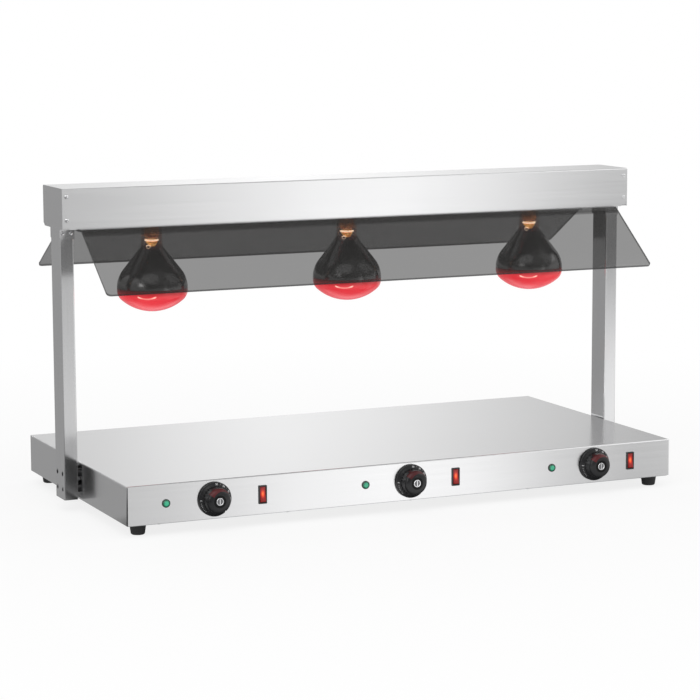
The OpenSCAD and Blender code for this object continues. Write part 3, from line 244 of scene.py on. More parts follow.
def lamp_mirror():
    """Dark mirror coat inside the bulb, with a painted reflection: a little brighter halfway up."""
    material, tree = new_tree("lamp_mirror")
    share = height_share(tree, RUBY_TOP, COAT_TOP)
    fine = noise_at(tree, 60, detail=2)
    coat = ramp(share, [(0, (0.22, 0.215, 0.215)), (0.5, (0.3, 0.3, 0.3)), (1, (0.26, 0.255, 0.25))])
    principled(coat, spread(fine, 0.15, 0.2), fine, 0.01, 0.0001, Metallic=1)
    return material


def rocker_glow(name, centre):
    """Translucent red plastic lit from inside, brightest at its middle, in millimetres."""
    material, tree = new_tree(name)
    offset = vector("SUBTRACT", object_space(tree), centre * MM)
    away = norm(vector("MULTIPLY", offset, (165, 0, 84)))
    grain = noise_at(tree, 700)
    principled(
        ramp(away, [(0, (0.6, 0.07, 0.015)), (0.6, (0.2, 0.008, 0.006))]),
        spread(grain, 0.22, 0.3), grain, 0.08, 0.0001, Emission_Strength=0.72,
        Emission_Color=ramp(away, [
            (0, (1, 0.3, 0.1)), (0.22, (0.95, 0.11, 0.02)), (0.5, (0.46, 0.012, 0.006)),
            (0.85, (0.1, 0.002, 0.002)),
        ]),
    )
    return material


def ruby_glass():
    """Ruby glass lit from inside, with a painted highlight in its emission: a bright arc in three places
    around it, standing in for the filament's glow seen through the glass.
    """
    material, tree = new_tree("lamp_glass")
    height = split(object_space(tree))[2]
    share = height_share(tree, LAMP_BOTTOM, RUBY_TOP)
    right, rear, _ = split(add(tree, "TexCoord").outputs["Generated"])
    angle = math("ARCTAN2", math("SUBTRACT", right, 0.5), math("SUBTRACT", 0.5, rear))
    wave = math("COSINE", math("MULTIPLY", math("ADD", angle, radians(29)), 3))
    # The arcs are a painted highlight: brighter, paler emission in a thin band at a fixed height.
    arcs = rise(wave, 0.66, 0.76)
    ends = spread(wave, 1, 0.35, 0.8, 0.94)
    arc_height = spread(wave, 374.2 * MM, 370.8 * MM, 0.7, 1)
    off = math("ABSOLUTE", math("SUBTRACT", height, arc_height))
    painted_highlight = product(arcs, ends, fall(off, 0.3 * MM, 1.9 * MM))
    fine = noise_at(tree, 60, detail=2)
    glass = ramp(share, [
        (0, (0.74, 0.04, 0.055)), (0.72, (0.68, 0.028, 0.038)), (0.88, (0.36, 0.01, 0.014)),
        (1, (0.1, 0.004, 0.005)),
    ])
    glow = ramp(share, [
        (0, (0.95, 0.16, 0.2)), (0.3, (0.92, 0.068, 0.09)), (0.74, (0.72, 0.034, 0.048)),
        (1, (0.06, 0.002, 0.002)),
    ])
    principled(
        glass, spread(fine, 0.18, 0.24), fine, 0.02, 0.0002,
        Emission_Color=mix(painted_highlight, glow, (2.2, 1.6, 1.3, 1)), Emission_Strength=0.44,
        Coat_Weight=0.15, Coat_Roughness=0.12, Specular_IOR_Level=0.4,
    )
    return material


def warm_metal(name, dull, bright, glow):
    """Copper-coloured metal in the neck, with a painted warm glow in its emission for the lamp's light on it,
    brighter in patches as painted glints.
    """
    material, tree = new_tree(name)
    patches = noise_at(tree, (110, 110, 160), detail=2)
    principled(
        ramp(patches, [(0.35, dull), (0.7, bright)]), spread(patches, 0.2, 0.34),
        patches, 0.25, 0.0004, Metallic=0.8,
        Emission_Color=ramp(patches, [(0.38, dull), (0.66, bright)]), Emission_Strength=glow,
    )
    return material


def tinted(name, colour, roughness, alpha, grain=60, tint=0.05, **shader):
    """Glass or clear sheet with a nearly even tint."""
    return surface(
        name, colour, roughness, grain=grain, tint=tint, wear=0.02, bump=0.02, Alpha=alpha, **shader
    )


# Mesh helpers. Shapes are drawn in millimetres.
def new_object(name, data):
    made = bpy.data.objects.new(name, data)
    bpy.context.scene.collection.objects.link(made)
    return made


def piece(name, mesh, materials, body="gantry", replaces=(), sharp=32):
    """Shown object made from a bmesh in millimetres, with smooth shading up to the sharp angle."""
    mesh.transform(Matrix.Scale(MM, 4))
    bmesh.ops.remove_doubles(mesh, verts=mesh.verts, dist=1e-7)
    bmesh.ops.recalc_face_normals(mesh, faces=mesh.faces)
    data = bpy.data.meshes.new(name)
    mesh.to_mesh(data)
    mesh.free()
    for material in materials:
        data.materials.append(material)
    data.polygons.foreach_set("use_smooth", [True] * len(data.polygons))
    data.set_sharp_from_angle(angle=radians(sharp))
    made = new_object(name, data)
    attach(made, body)
    if replaces:
        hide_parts(*replaces)


def shifted(x=0, y=0, z=0):
    return Matrix.Translation((x, y, z))


def turned(angle, axis):
    """Rotation by an angle in degrees."""
    return Matrix.Rotation(radians(angle), 4, axis)


def on_panel(x, z=0):
    """Moves a shape drawn outward along +Z onto the front panel."""
    return shifted(x, PANEL_Y, CONTROL_Z) @ turned(90, "X") @ shifted(z=z)


def strip(mesh, lower, upper, material=0, closed=True):
    """Faces between two rings, or two open rows, of equally many vertices."""
    faces = []
    for i in range(len(lower) if closed else len(lower) - 1):
        j = (i + 1) % len(lower)
        faces.append(mesh.faces.new([lower[i], lower[j], upper[j], upper[i]]))
        faces[-1].material_index = material
    return faces


def revolve(mesh, profile, steps=96, place=None, reach=None, material=None):
    """Turns (radius, height) points about Z. reach(radius, height, angle) may draw a radius in.

    material is one index for the whole shape, or takes the two ends of a strip and gives its index.
    """
    place = place or Matrix()
    rings = []
    for radius, height in profile:
        if radius < 1e-6:
            rings.append([mesh.verts.new(place @ Vector((0, 0, height)))])
            continue
        ring = []
        for i in range(steps):
            angle = 2 * pi * i / steps
            r = reach(radius, height, angle) if reach else radius
            ring.append(mesh.verts.new(place @ Vector((r * cos(angle), r * sin(angle), height))))
        rings.append(ring)
    for index, (lower, upper) in enumerate(zip(rings, rings[1:])):
        kind = material(profile[index], profile[index + 1]) if callable(material) else material or 0
        for i in range(steps):
            j = (i + 1) % steps
            corners = [
                lower[i % len(lower)], lower[j % len(lower)], upper[j % len(upper)], upper[i % len(upper)],
            ]
            corners = list(dict.fromkeys(corners))
            if len(corners) > 2:
                mesh.faces.new(corners).material_index = kind


def arc(x, z, radius, start, end, steps):
    """Points on an arc, with angles in degrees."""
    angles = [radians(start + (end - start) * i / steps) for i in range(steps + 1)]
    return [(x + radius * cos(a), z + radius * sin(a)) for a in angles]


def prism(mesh, outline, height, place):
    """Straight prism standing on an outline of (x, y) points."""
    low, high = ([mesh.verts.new(place @ Vector((x, y, z))) for x, y in outline] for z in (0, height))
    mesh.faces.new(low[::-1])
    mesh.faces.new(high)
    strip(mesh, low, high)


def tube(mesh, points, radius, steps=12, closed=False, material=0):
    """Round wire through a list of points."""
    points = [Vector(p) for p in points]
    rings = []
    side = None
    for i, point in enumerate(points):
        before = points[i - 1] if i or closed else point
        after = points[(i + 1) % len(points)] if i + 1 < len(points) or closed else point
        direction = (after - before).normalized()
        if side is None:
            side = direction.orthogonal()
        side = (side - direction * side.dot(direction)).normalized()
        other = direction.cross(side)
        rings.append([
            mesh.verts.new(point + radius * (cos(a) * side + sin(a) * other))
            for a in (2 * pi * k / steps for k in range(steps))
        ])
    for lower, upper in zip(rings, rings[1:]):
        strip(mesh, lower, upper, material)
    if closed:
        last, first = rings[-1], rings[0]
        shift = min(range(steps), key=lambda s: (first[s].co - last[0].co).length)
        strip(mesh, last, first[shift:] + first[:shift], material)
    else:
        mesh.faces.new(rings[0][::-1]).material_index = material
        mesh.faces.new(rings[-1]).material_index = material


def baked(mesh_object):
    """The object's mesh after its modifiers, as a bmesh."""
    bpy.context.view_layer.update()
    data = bpy.data.meshes.new_from_object(mesh_object.evaluated_get(bpy.context.evaluated_depsgraph_get()))
    made = bmesh.new()
    made.from_mesh(data)
    bpy.data.meshes.remove(data)
    return made


def scratch(mesh):
    """Object for a boolean, made from a bmesh, which is freed."""
    data = bpy.data.meshes.new("scratch")
    bmesh.ops.recalc_face_normals(mesh, faces=mesh.faces)
    mesh.to_mesh(data)
    mesh.free()
    return new_object("scratch", data)


def cut_away(mesh, cutter):
    """mesh less cutter, both bmeshes."""
    whole, tool = scratch(mesh), scratch(cutter)
    modifier = whole.modifiers.new("cut", "BOOLEAN")
    modifier.object = tool
    modifier.solver = "EXACT"
    made = baked(whole)
    for leftover in (whole, tool):
        data = leftover.data
        bpy.data.objects.remove(leftover)
        bpy.data.meshes.remove(data)
    return made


def place_copies(mesh, template, places):
    """Adds a copy of the template bmesh at each matrix, and frees the template."""
    data = bpy.data.meshes.new("template")
    template.to_mesh(data)
    template.free()
    for place in places:
        before = len(mesh.verts)
        mesh.from_mesh(data)
        mesh.verts.ensure_lookup_table()
        bmesh.ops.transform(mesh, matrix=place, verts=mesh.verts[before:])
    bpy.data.meshes.remove(data)


def islands(name):
    """The separate solids in a CAD node, each as its box's corners and its vertices, in millimetres."""
    mesh = bmesh.new()
    mesh.from_mesh(CAD[name].data)
    bmesh.ops.remove_doubles(mesh, verts=mesh.verts, dist=1e-6)
    seen = set()
    found = []
    for start in mesh.verts:
        if start in seen:
            continue
        seen.add(start)
        queue, members = [start], []
        while queue:
            vertex = queue.pop()
            members.append(vertex.co / MM)
            for edge in vertex.link_edges:
                other = edge.other_vert(vertex)
                if other not in seen:
                    seen.add(other)
                    queue.append(other)
        low, high = (Vector([end(v[i] for v in members) for i in range(3)]) for end in (min, max))
        found.append((low, high, members))
    mesh.free()
    return found


# Materials
STEEL_X = brushed("stainless_brushed_x", "X")
STEEL_TOP = brushed("stainless_base", "X", colour=(0.71, 0.71, 0.715), roughness=0.14, lines=0.04)
STEEL_Y = brushed("stainless_brushed_y", "Y", colour=(0.68, 0.68, 0.685))
STEEL_Z = brushed("stainless_brushed_z", "Z", colour=(0.69, 0.69, 0.695), roughness=0.11)
# The stirrup's top edge, just under the beam, is painted shade: the dark shadow line of the gap.
STIRRUP = brushed("stainless_stirrup", "Z", colour=(0.69, 0.69, 0.695), roughness=0.13, shadow_line=BEAM_Z - 1.3)
GALVANISED = surface("galvanised", (0.5, 0.51, 0.52), 0.42, grain=120, tint=0.18, wear=0.1, Metallic=1)
ZINC = surface("zinc_screws", (0.52, 0.53, 0.54), 0.32, grain=1500, Metallic=1)
BRIGHT = surface("bright_screws", (0.74, 0.74, 0.75), 0.2, grain=1500, tint=0.06, wear=0.05, Metallic=1)
# Painted shade: the faces inside a screw's cross recess are dark grey, not metal.
RECESS_SHADE = surface("screw_recess_painted_shade", (0.13, 0.13, 0.135), 0.5, grain=1500)
RUBBER = surface("black_rubber", (0.024, 0.024, 0.025), 0.62, grain=700, tint=0.25, bump=0.4, height=0.0002)
PLASTIC = surface("black_plastic", (0.014, 0.014, 0.015), 0.38, grain=1200, tint=0.2)
SHAFT = surface("shaft_steel", (0.55, 0.55, 0.56), 0.3, grain=1500, Metallic=1)
BRASS = surface("lamp_cap_brass", (0.78, 0.6, 0.28), 0.28, grain=600, Metallic=1)
# The second of these finishes is painted shade: the grip's front round the cap, darker and less glossy, for
# the shadow of the recess.
KNOB, KNOB_HALO_SHADE = (
    surface(name, colour, roughness, grain=1400, tint=0.2, bump=0.15, Specular_IOR_Level=gloss)
    for name, colour, roughness, gloss in (
        ("knob_plastic", (0.011, 0.011, 0.012), 0.28, 0.34), ("knob_halo_painted_shade", (0.006, 0.006, 0.006), 0.3, 0.12),
    )
)
KNOB_RED = surface("knob_red_print", (0.085, 0.009, 0.011), 0.34, tint=0.45, Specular_IOR_Level=0.34)
KNOB_WHITE = surface("knob_white_print", (0.66, 0.66, 0.66), 0.45, grain=1400)
CHROME = surface("chrome_ring", (0.7, 0.7, 0.71), 0.12, tint=0.04, wear=0.03, bump=0.05, Metallic=1)
CAP_DISH = surface("chrome_ring_dish", (0.13, 0.13, 0.135), 0.35)
LENS = surface(
    "green_lens", (0.02, 0.27, 0.15), 0.16, grain=600, tint=0.2, wear=0.05,
    Emission_Color=(0.05, 0.46, 0.26, 1), Emission_Strength=0.34, Coat_Weight=0.5,
)
LENS_RIM = surface(
    "green_lens_rim", (0.008, 0.13, 0.07), 0.2, grain=600, tint=0.2, wear=0.05,
    Emission_Color=(0.01, 0.16, 0.08, 1), Emission_Strength=0.22, Coat_Weight=0.3,
)
GUARD_FRONT, GUARD_REAR = (
    tinted("smoked_clear_" + end, (0.018, 0.017, 0.016), 0.05, alpha, 40, 0.1, Specular_IOR_Level=0.3)
    for end, alpha in (("front", 0.485), ("rear", 0.57))
)
# The bend and the flange under the beam are darker and less clear: partly the sheet seen through its bend,
# partly painted shade under the beam.
GUARD_BEND = tinted("smoked_clear_bend", (0.014, 0.013, 0.012), 0.08, 0.72, tint=0.1, Specular_IOR_Level=0.3)
GUARD_EDGE = surface("smoked_clear_edge", (0.012, 0.012, 0.011), 0.2, grain=400, bump=0.1, Alpha=0.8)
RUBY = ruby_glass()
MIRROR = lamp_mirror()
NECK = tinted("lamp_neck", (0.3, 0.17, 0.12), 0.06, 0.44, Metallic=0.4)
NECK_FADE = tinted("lamp_neck_fade", (0.34, 0.3, 0.29), 0.14, 0.82, Metallic=0.9)
# Painted glow: the cup and cone finishes emit warm light, brighter in patches, for the lamp's light on the
# metal.
MOUNT_CUP = warm_metal("lamp_mount_cup", (0.34, 0.1, 0.035), (0.8, 0.34, 0.12), 0.55)
MOUNT_CONE = warm_metal("lamp_mount_cone", (0.72, 0.26, 0.05), (1, 0.6, 0.18), 1.9)
GLINT = surface(
    "lamp_mount_glint", (0.92, 0.72, 0.52), 0.2, grain=300, Metallic=0.7,
    Emission_Color=(1, 0.72, 0.5, 1), Emission_Strength=4.6,
)
# Painted glow: the stem glass emits a warm light for the lamp's light in it.
STEM_GLASS = surface(
    "lamp_stem_glass", (0.82, 0.7, 0.62), 0.12, grain=200, Alpha=0.75, Coat_Weight=0.5,
    Emission_Color=(0.9, 0.62, 0.48, 1), Emission_Strength=0.5,
)

# Finishes of the CAD nodes that show as they are
FINISH = {
    "base_shell": STEEL_TOP, "base_plate": GALVANISED, "lamp_hangers": GALVANISED, "upright_bolts": ZINC,
    "upright_left": STEEL_Z, "upright_right": STEEL_Z, "stirrup_left": STIRRUP, "stirrup_right": STIRRUP,
    "beam_shell": STEEL_X, "beam_tray": STEEL_X, "beam_end_cap_left": STEEL_Y, "beam_end_cap_right": STEEL_Y,
    "upright_spacers": surface("blackened_steel", (0.035, 0.035, 0.036), 0.4, tint=0.2, Metallic=0.7),
    "insulation_slabs": surface(
        "mineral_wool", (0.62, 0.55, 0.36), 0.95, grain=500, tint=0.3, bump=0.8, height=0.001,
    ),
    "heater_plates": surface("aluminium_plate", (0.74, 0.75, 0.76), 0.4, grain=400, Metallic=1),
    "heating_elements": surface("element_sheath", (0.2, 0.19, 0.18), 0.5, grain=700, tint=0.2, Metallic=0.8),
    "thermostats": surface("thermostat_body", (0.7, 0.67, 0.58), 0.5),
    "thermostat_probes": surface("copper", (0.72, 0.35, 0.2), 0.28, grain=500, Metallic=1),
    "pilot_bezels": surface("pilot_bezel", (0.018, 0.035, 0.028), 0.34),
    "terminal_block": surface("terminal_plastic", (0.78, 0.76, 0.7), 0.5),
    "wiring": surface("wire_insulation", (0.07, 0.07, 0.072), 0.55),
    "lamp_sockets": surface("ceramic", (0.8, 0.78, 0.72), 0.35, grain=500, tint=0.05, Coat_Weight=0.3),
}
for corner in ("front_left", "front_right", "rear_left", "rear_right"):
    FINISH["foot_" + corner] = RUBBER
for zone in ZONES:
    FINISH["thermostat_shaft_" + zone] = SHAFT
    FINISH["switch_housing_" + zone] = PLASTIC
    FINISH["lamp_cap_" + zone] = BRASS
for node, material in FINISH.items():
    CAD[node].data.materials.clear()
    CAD[node].data.materials.append(material)


# Guards
GUARD_BEND_STEPS = 12
GUARD_CORNER_STEPS = 8
GUARD_EDGE_BEVEL = 0.5
ALONG_SLANT = (0.065, 0.25, 0.5, 0.75)
ACROSS_GUARD = (-1, -0.5, 0, 0.5, 1)


def guard(name, node, material, side, bend_y, angle):
    """Smoked sheet bent under the beam, with polished edges and rounded lower corners. side is -1 in front.

    The bend's middle is bend_y from the beam's middle, and the sheet slants down by the angle in degrees.
    """
    flange = bend_y - GUARD_FLANGE_Y
    slope = radians(angle)
    corner = [pi / 2 * i / GUARD_CORNER_STEPS for i in range(GUARD_CORNER_STEPS + 1)]
    slant = [GUARD_SLANT * share for share in ALONG_SLANT]
    slant += [GUARD_SLANT * (1 - GUARD_CORNER_R / GUARD_SLANT * (1 - sin(a))) for a in corner]
    bend_rows = 2 + GUARD_BEND_STEPS + 1
    widths = [GUARD_HALF] * (bend_rows + len(ALONG_SLANT))
    widths += [GUARD_HALF - GUARD_CORNER_R * (1 - cos(a)) for a in corner]
    mesh = bmesh.new()
    outer_r = GUARD_BEND_R + GUARD_T

    def sheet(radius):
        """Rows of vertices over the face that bends at this radius, from under the beam to the lower edge."""
        points = [(flange, radius), (flange / 2, radius)]
        points += arc(0, 0, radius, 90, 90 + angle, GUARD_BEND_STEPS)
        end_y, end_z = points[-1]
        points += [(end_y - length * cos(slope), end_z - length * sin(slope)) for length in slant]
        places = [
            [(share * width, side * (bend_y - y), BEAM_Z - outer_r + z) for share in ACROSS_GUARD]
            for (y, z), width in zip(points, widths)
        ]
        return [[mesh.verts.new(place) for place in row] for row in places]

    top, painted_shadow_under = sheet(outer_r), sheet(GUARD_BEND_R)
    for rows in (top, painted_shadow_under):
        for index, (lower, upper) in enumerate(zip(rows, rows[1:])):
            strip(mesh, lower, upper, 2 if index < bend_rows else 0, closed=False)
    rims = set()
    left, right = ([[row[end] for row in rows] for rows in (top, painted_shadow_under)] for end in (0, -1))
    for first, second in (left, right, (top[0], painted_shadow_under[0]), (top[-1], painted_shadow_under[-1])):
        rims.update(strip(mesh, first, second, 1, closed=False))
    border = [e for e in mesh.edges if len({f in rims for f in e.link_faces}) == 2]
    bmesh.ops.bevel(
        mesh, geom=border, offset=GUARD_EDGE_BEVEL, segments=2, affect="EDGES", profile=0.6, material=1,
    )
    piece(name, mesh, [material, GUARD_EDGE, GUARD_BEND], replaces=[node])


guard("front_guard_sheet", "front_guard", GUARD_FRONT, -1, 62.8, 36.5)
guard("rear_guard_sheet", "rear_guard", GUARD_REAR, 1, 51, 31)


# Screws with cross recesses, and chamfered nuts, in place of the plain ones
HEAD_RIM = 0.6
THREAD_PITCH = 0.8
RECESS_TOP = (1.4, 0.36)
RECESS_FLOOR = (0.7, 0.24)
RECESS_DEPTH = 1.3
RECESS_R = 1.6
RECESS_TURNS = (17, 46, 75, 104, 133)
SKIN_SLACK, FLOOR_SLACK = 0.12, 0.05
THREAD_ROOT, THREAD_TIP, THREAD_FLANK = 0.9, 0.8, 0.2
NUT_STEPS = 48
NUT_CHAMFER = 0.35


def rectangle(half_x, half_y):
    return [(-half_x, -half_y), (half_x, -half_y), (half_x, half_y), (-half_x, half_y)]


def cross_screw(length, shank_r, head_r, head_h):
    """Pan-head screw, head below z = 0 and shank up to the length."""
    dome_h = head_h - HEAD_RIM
    profile = [(head_r * sin(radians(a)), -HEAD_RIM - dome_h * cos(radians(a))) for a in range(0, 91, 10)]
    profile += [(head_r, 0), (shank_r, 0)]
    turns = ceil(length / THREAD_PITCH)
    for i in range(turns):
        z = length * (i + 0.5) / turns
        flank = THREAD_FLANK * length / turns
        profile += [(shank_r * THREAD_ROOT, z - flank), (shank_r, z + flank)]
    profile += [(shank_r * THREAD_TIP, length), (0, length)]
    made = bmesh.new()
    revolve(made, profile, steps=32)
    for angle in (0, 90):
        cutter = bmesh.new()
        low, high = (
            [cutter.verts.new(turned(angle, "Z") @ Vector((x, y, z))) for x, y in rectangle(*halfs)]
            for halfs, z in ((RECESS_TOP, -head_h - 0.2), (RECESS_FLOOR, -head_h + RECESS_DEPTH))
        )
        cutter.faces.new(low)
        cutter.faces.new(high[::-1])
        strip(cutter, low, high)
        made = cut_away(made, cutter)
    # Faces inside the recess take the second finish, which is painted shade.
    for face in made.faces:
        point = face.calc_center_median()
        away = sqrt(point.x ** 2 + point.y ** 2)
        skin = -HEAD_RIM - dome_h * sqrt(max(0, 1 - (away / head_r) ** 2))
        inside = away < RECESS_R and skin + SKIN_SLACK < point.z < -head_h + RECESS_DEPTH + FLOOR_SLACK
        face.material_index = 1 if inside else 0
    return made


def hex_nut(height, across, bore):
    """Hexagon nut with chamfered corners, standing up from z = 0."""
    mesh = bmesh.new()
    hexagon = [across / 2 / cos((k % 8 - 4) * pi / 24) for k in range(NUT_STEPS)]

    def ring(radius, z):
        radii = [min(radius, r) for r in hexagon]
        angles = [2 * pi * k / NUT_STEPS for k in range(NUT_STEPS)]
        return [mesh.verts.new((r * cos(a), r * sin(a), z)) for r, a in zip(radii, angles)]

    flat = across / 2
    corner = flat / cos(pi / 6)
    rings = [
        ring(radius, z)
        for radius, z in ((flat, 0), (corner, NUT_CHAMFER), (corner, height - NUT_CHAMFER), (flat, height))
    ]
    bottom, top = ring(bore, 0), ring(bore, height)
    rings = [bottom] + rings + [top, bottom]
    for lower, upper in zip(rings, rings[1:]):
        strip(mesh, lower, upper)
    return mesh


# Head height in the CAD, and what cross_screw draws, by the head's diameter. A nut's bore goes by its height.
SMALL_SCREW = {"shank_r": 2, "head_r": 3.6, "head_h": 2.2}
SCREWS = {7.2: (2.2, SMALL_SCREW), 10: (3.2, {"shank_r": 2.5, "head_r": 5, "head_h": 3.2})}
FLAT_SCREWS = {**SCREWS, 7.2: (2.2, {**SMALL_SCREW, "head_h": 1.15})}
NUT_BORE = {3: 2.1, 4: 2.6}
TALLEST_NUT = 4.5


def fasteners(node, screws, materials):
    """Screws with cross recesses and nuts with chamfers, in the places of a CAD node's plain ones."""
    mesh = bmesh.new()
    groups = {}
    for low, high, members in islands(node):
        size = high - low
        if size.z < TALLEST_NUT:
            place = shifted((low.x + high.x) / 2, (low.y + high.y) / 2, low.z)
            groups.setdefault(("nut", round(size.z, 1), round(size.y, 1)), []).append(place)
            continue
        axis = max(range(3), key=lambda i: size[i])
        across = [i for i in range(3) if i != axis]
        width = round(size[across[0]], 1)
        head_h, drawn = screws[width]
        point = (low + high) / 2
        reach = drawn["shank_r"] + 1
        head = [m[axis] for m in members if sum((m[i] - point[i]) ** 2 for i in across) > reach ** 2]
        at_low = sum(head) / len(head) < point[axis]
        point[axis] = (low[axis] + head_h) if at_low else (high[axis] - head_h)
        turn = turned(-90 if at_low else 90, "X") if axis == 1 else Matrix()
        kind = ("screw", round(size[axis] - head_h, 2), width)
        same = groups.setdefault(kind, [])
        spin = turned(RECESS_TURNS[len(same) % len(RECESS_TURNS)], "Z")
        same.append(Matrix.Translation(point) @ turn @ spin)
    for (kind, length, width), places in groups.items():
        if kind == "screw":
            template = cross_screw(length, **screws[width][1])
        else:
            template = hex_nut(length, width, NUT_BORE[length])
        place_copies(mesh, template, places)
    piece(node + "_detailed", mesh, materials, replaces=[node])


fasteners("beam_screws", SCREWS, [BRIGHT, RECESS_SHADE])
fasteners("base_screws", FLAT_SCREWS, [ZINC, RECESS_SHADE])


# Knobs: the flange with its notch and sloping rim, the grooved grip and its rounded shoulder
FLANGE_R, GRIP_OUT_R = 29.5, 24.5
NOTCH_AT, NOTCH_R, NOTCH_SPAN = radians(-50), 1.6, 0.2
GROOVES, GROOVE_AT, GROOVE_R = 24, 23.8, 1.3
GROOVE_FOOT, GROOVE_TOP_R = 7.9, 20
SLOPE_R, SLOPE_Z, SLOPE = 26.1, 6.5, atan2(3, 5.2)
SHOULDER_R, SHOULDER_Z, SHOULDER_WIDE, SHOULDER_HIGH = 8, 19.6, 13.5, 8
PRINT_LIFT = 0.05
# Inside this radius and above this height, the grip's front round the cap is painted shade.
HALO_SHADE_R, HALO_SHADE_Z = 11, 26
BAND_START, BAND_SWEEP, BAND_STEPS, BAND_ROWS = 144, 112, 40, 6
BAND_FOOT, BAND_WIDE, BAND_TAPER = 0.02, 0.74, 0.5


def scooped(radius, at, scoop_r, away):
    """Radius, drawn in where a round cutter's circle stands at a distance from the axis and an angle away."""
    offset = at * sin(away)
    if abs(offset) < scoop_r:
        return min(radius, at * cos(away) - sqrt(scoop_r ** 2 - offset ** 2))
    return radius


def knob_reach(radius, height, angle):
    """Radius of the knob's outer surface, drawn in at the grooves of the grip and the notch in the rim."""
    if radius > GRIP_OUT_R:
        away = (angle - NOTCH_AT + pi) % (2 * pi) - pi
        return scooped(radius, FLANGE_R, NOTCH_R, away) if abs(away) < NOTCH_SPAN else radius
    if height < GROOVE_FOOT or radius < GROOVE_TOP_R:
        return radius
    return scooped(radius, GROOVE_AT, GROOVE_R, angle % (2 * pi / GROOVES) - pi / GROOVES)


def shoulder_point(share, angle, lift=PRINT_LIFT):
    """Point on the rounded front of the grip, with share 0 at its side and 1 at its flat."""
    a = radians(90 * share)
    radius = SHOULDER_R + (SHOULDER_WIDE + lift) * cos(a)
    return Vector((radius * cos(angle), radius * sin(angle), SHOULDER_Z + (SHOULDER_HIGH + lift) * sin(a)))


def slope_point(along, angle, lift=PRINT_LIFT):
    """Point on the flange's slope, along it from its middle, outward."""
    radius = SLOPE_R + along * cos(SLOPE) + lift * sin(SLOPE)
    height = SLOPE_Z - along * sin(SLOPE) + lift * cos(SLOPE)
    return Vector((radius * cos(angle), radius * sin(angle), height))


def knob_profile():
    profile = [(0, 9.2), (10.6, 9.2), (11, 8.8), (11, 1.3), (11.5, 0.8), (28.7, 0.8)]
    profile += [(FLANGE_R, 1.6), (FLANGE_R, 4.2)] + arc(28.7, 4.2, 0.8, 20, 90, 4)
    profile += [(SLOPE_R, SLOPE_Z), (23.9, 7.8), (23.5, 8), (23.1, 10.4), (22.6, 13.6), (22, 17)]
    for a in range(0, 91, 6):
        radius = SHOULDER_R + SHOULDER_WIDE * cos(radians(a))
        profile.append((radius, SHOULDER_Z + SHOULDER_HIGH * sin(radians(a))))
    profile += [(6.95, 27.6), (6.6, 27.35), (6.6, 26.8), (0, 26.8)]
    return profile


def print_text(mesh, words, size, angle, place):
    """Numerals laid on the flange's slope, upright at the given angle."""
    curve = bpy.data.curves.new("numerals", "FONT")
    curve.body = words
    curve.size = size
    curve.align_x = curve.align_y = "CENTER"
    curve.offset = 0.02 * size
    holder = new_object("numerals", curve)
    made = baked(holder)
    bpy.data.objects.remove(holder)
    bpy.data.curves.remove(curve)
    for vertex in made.verts:
        u, v, _ = vertex.co
        vertex.co = slope_point(v, angle - u / SLOPE_R)
    place_copies(mesh, made, [place])


def tick(mesh, place, angle, inner, outer, width):
    half = width / 2 / SLOPE_R
    corners = [
        slope_point(along, radians(angle) + side * half)
        for along, side in ((inner, -1), (outer, -1), (outer, 1), (inner, 1))
    ]
    mesh.faces.new([mesh.verts.new(place @ c) for c in corners])


def numerals(place):
    """Numerals and ticks of the dial, with angles in degrees from the right."""
    mesh = bmesh.new()
    for words, angle in (("30", 86), ("50", 56), ("70", 28), ("90", 0), ("110", -28)):
        print_text(mesh, words, 4.4 if len(words) == 2 else 3.8, radians(angle), place)
    for angle in (71, 42, 14, -14):
        tick(mesh, place, angle, 0.6, 1.9, 0.45)
    tick(mesh, place, 180, -1.9, 1.9, 0.8)
    for angle in (192, 199, 206, 213, 220, 227):
        tick(mesh, place, angle, -0.4, 0.9, 0.5)
    return mesh


def heat_band(place):
    """Red band round the grip's shoulder, which narrows toward the hot end."""
    mesh = bmesh.new()
    grid = []
    for j in range(BAND_ROWS + 1):
        row = []
        for i in range(BAND_STEPS + 1):
            along = i / BAND_STEPS
            share = BAND_FOOT + (BAND_WIDE - BAND_TAPER * along ** 1.5) * j / BAND_ROWS
            point = shoulder_point(share, radians(BAND_START - BAND_SWEEP * along))
            row.append(mesh.verts.new(place @ point))
        grid.append(row)
    for lower, upper in zip(grid, grid[1:]):
        strip(mesh, lower, upper, closed=False)
    return mesh


def ring_cap(place):
    """Chromed ring round a dished middle with a plain raised bar."""
    mesh = bmesh.new()
    outline = [
        (0, 26.8), (6.5, 26.8), (6.5, 27.7), (6.2, 28), (5.4, 28), (5.1, 27.7), (4.9, 27.45), (0, 27.45)
    ]
    revolve(mesh, outline, steps=64, place=place, material=lambda a, b: int(max(a[0], b[0]) < 4.95))
    prism(mesh, rectangle(0.75, 4.6), 0.4, place @ shifted(z=27.4))
    return mesh


def knob(zone):
    name, cap, body = "knob_" + zone, "knob_cap_" + zone, zone + "_knob"
    place = on_panel(middle(name).x)
    mesh = bmesh.new()
    # The front round the cap takes the second finish, which is painted shade.
    revolve(
        mesh, knob_profile(), steps=288, place=place, reach=knob_reach,
        material=lambda a, b: int(max(a[0], b[0]) < HALO_SHADE_R and min(a[1], b[1]) > HALO_SHADE_Z),
    )
    piece(name + "_grip", mesh, [KNOB, KNOB_HALO_SHADE], body, [name], sharp=40)
    piece(name + "_numerals", numerals(place), [KNOB_WHITE], body)
    piece(name + "_heat_band", heat_band(place), [KNOB_RED], body)
    piece(cap + "_ring", ring_cap(place), [CHROME, CAP_DISH], body, [cap])


# Pilot lights: domed lenses with moulded rings
LENS_R, LENS_FOOT, LENS_RISE = 5.6, 1.8, 2.4
LENS_RIPPLE, LENS_RIPPLE_PITCH, LENS_RIPPLES = 0.13, 1.4, 32
LENS_RIM_R = 4.1


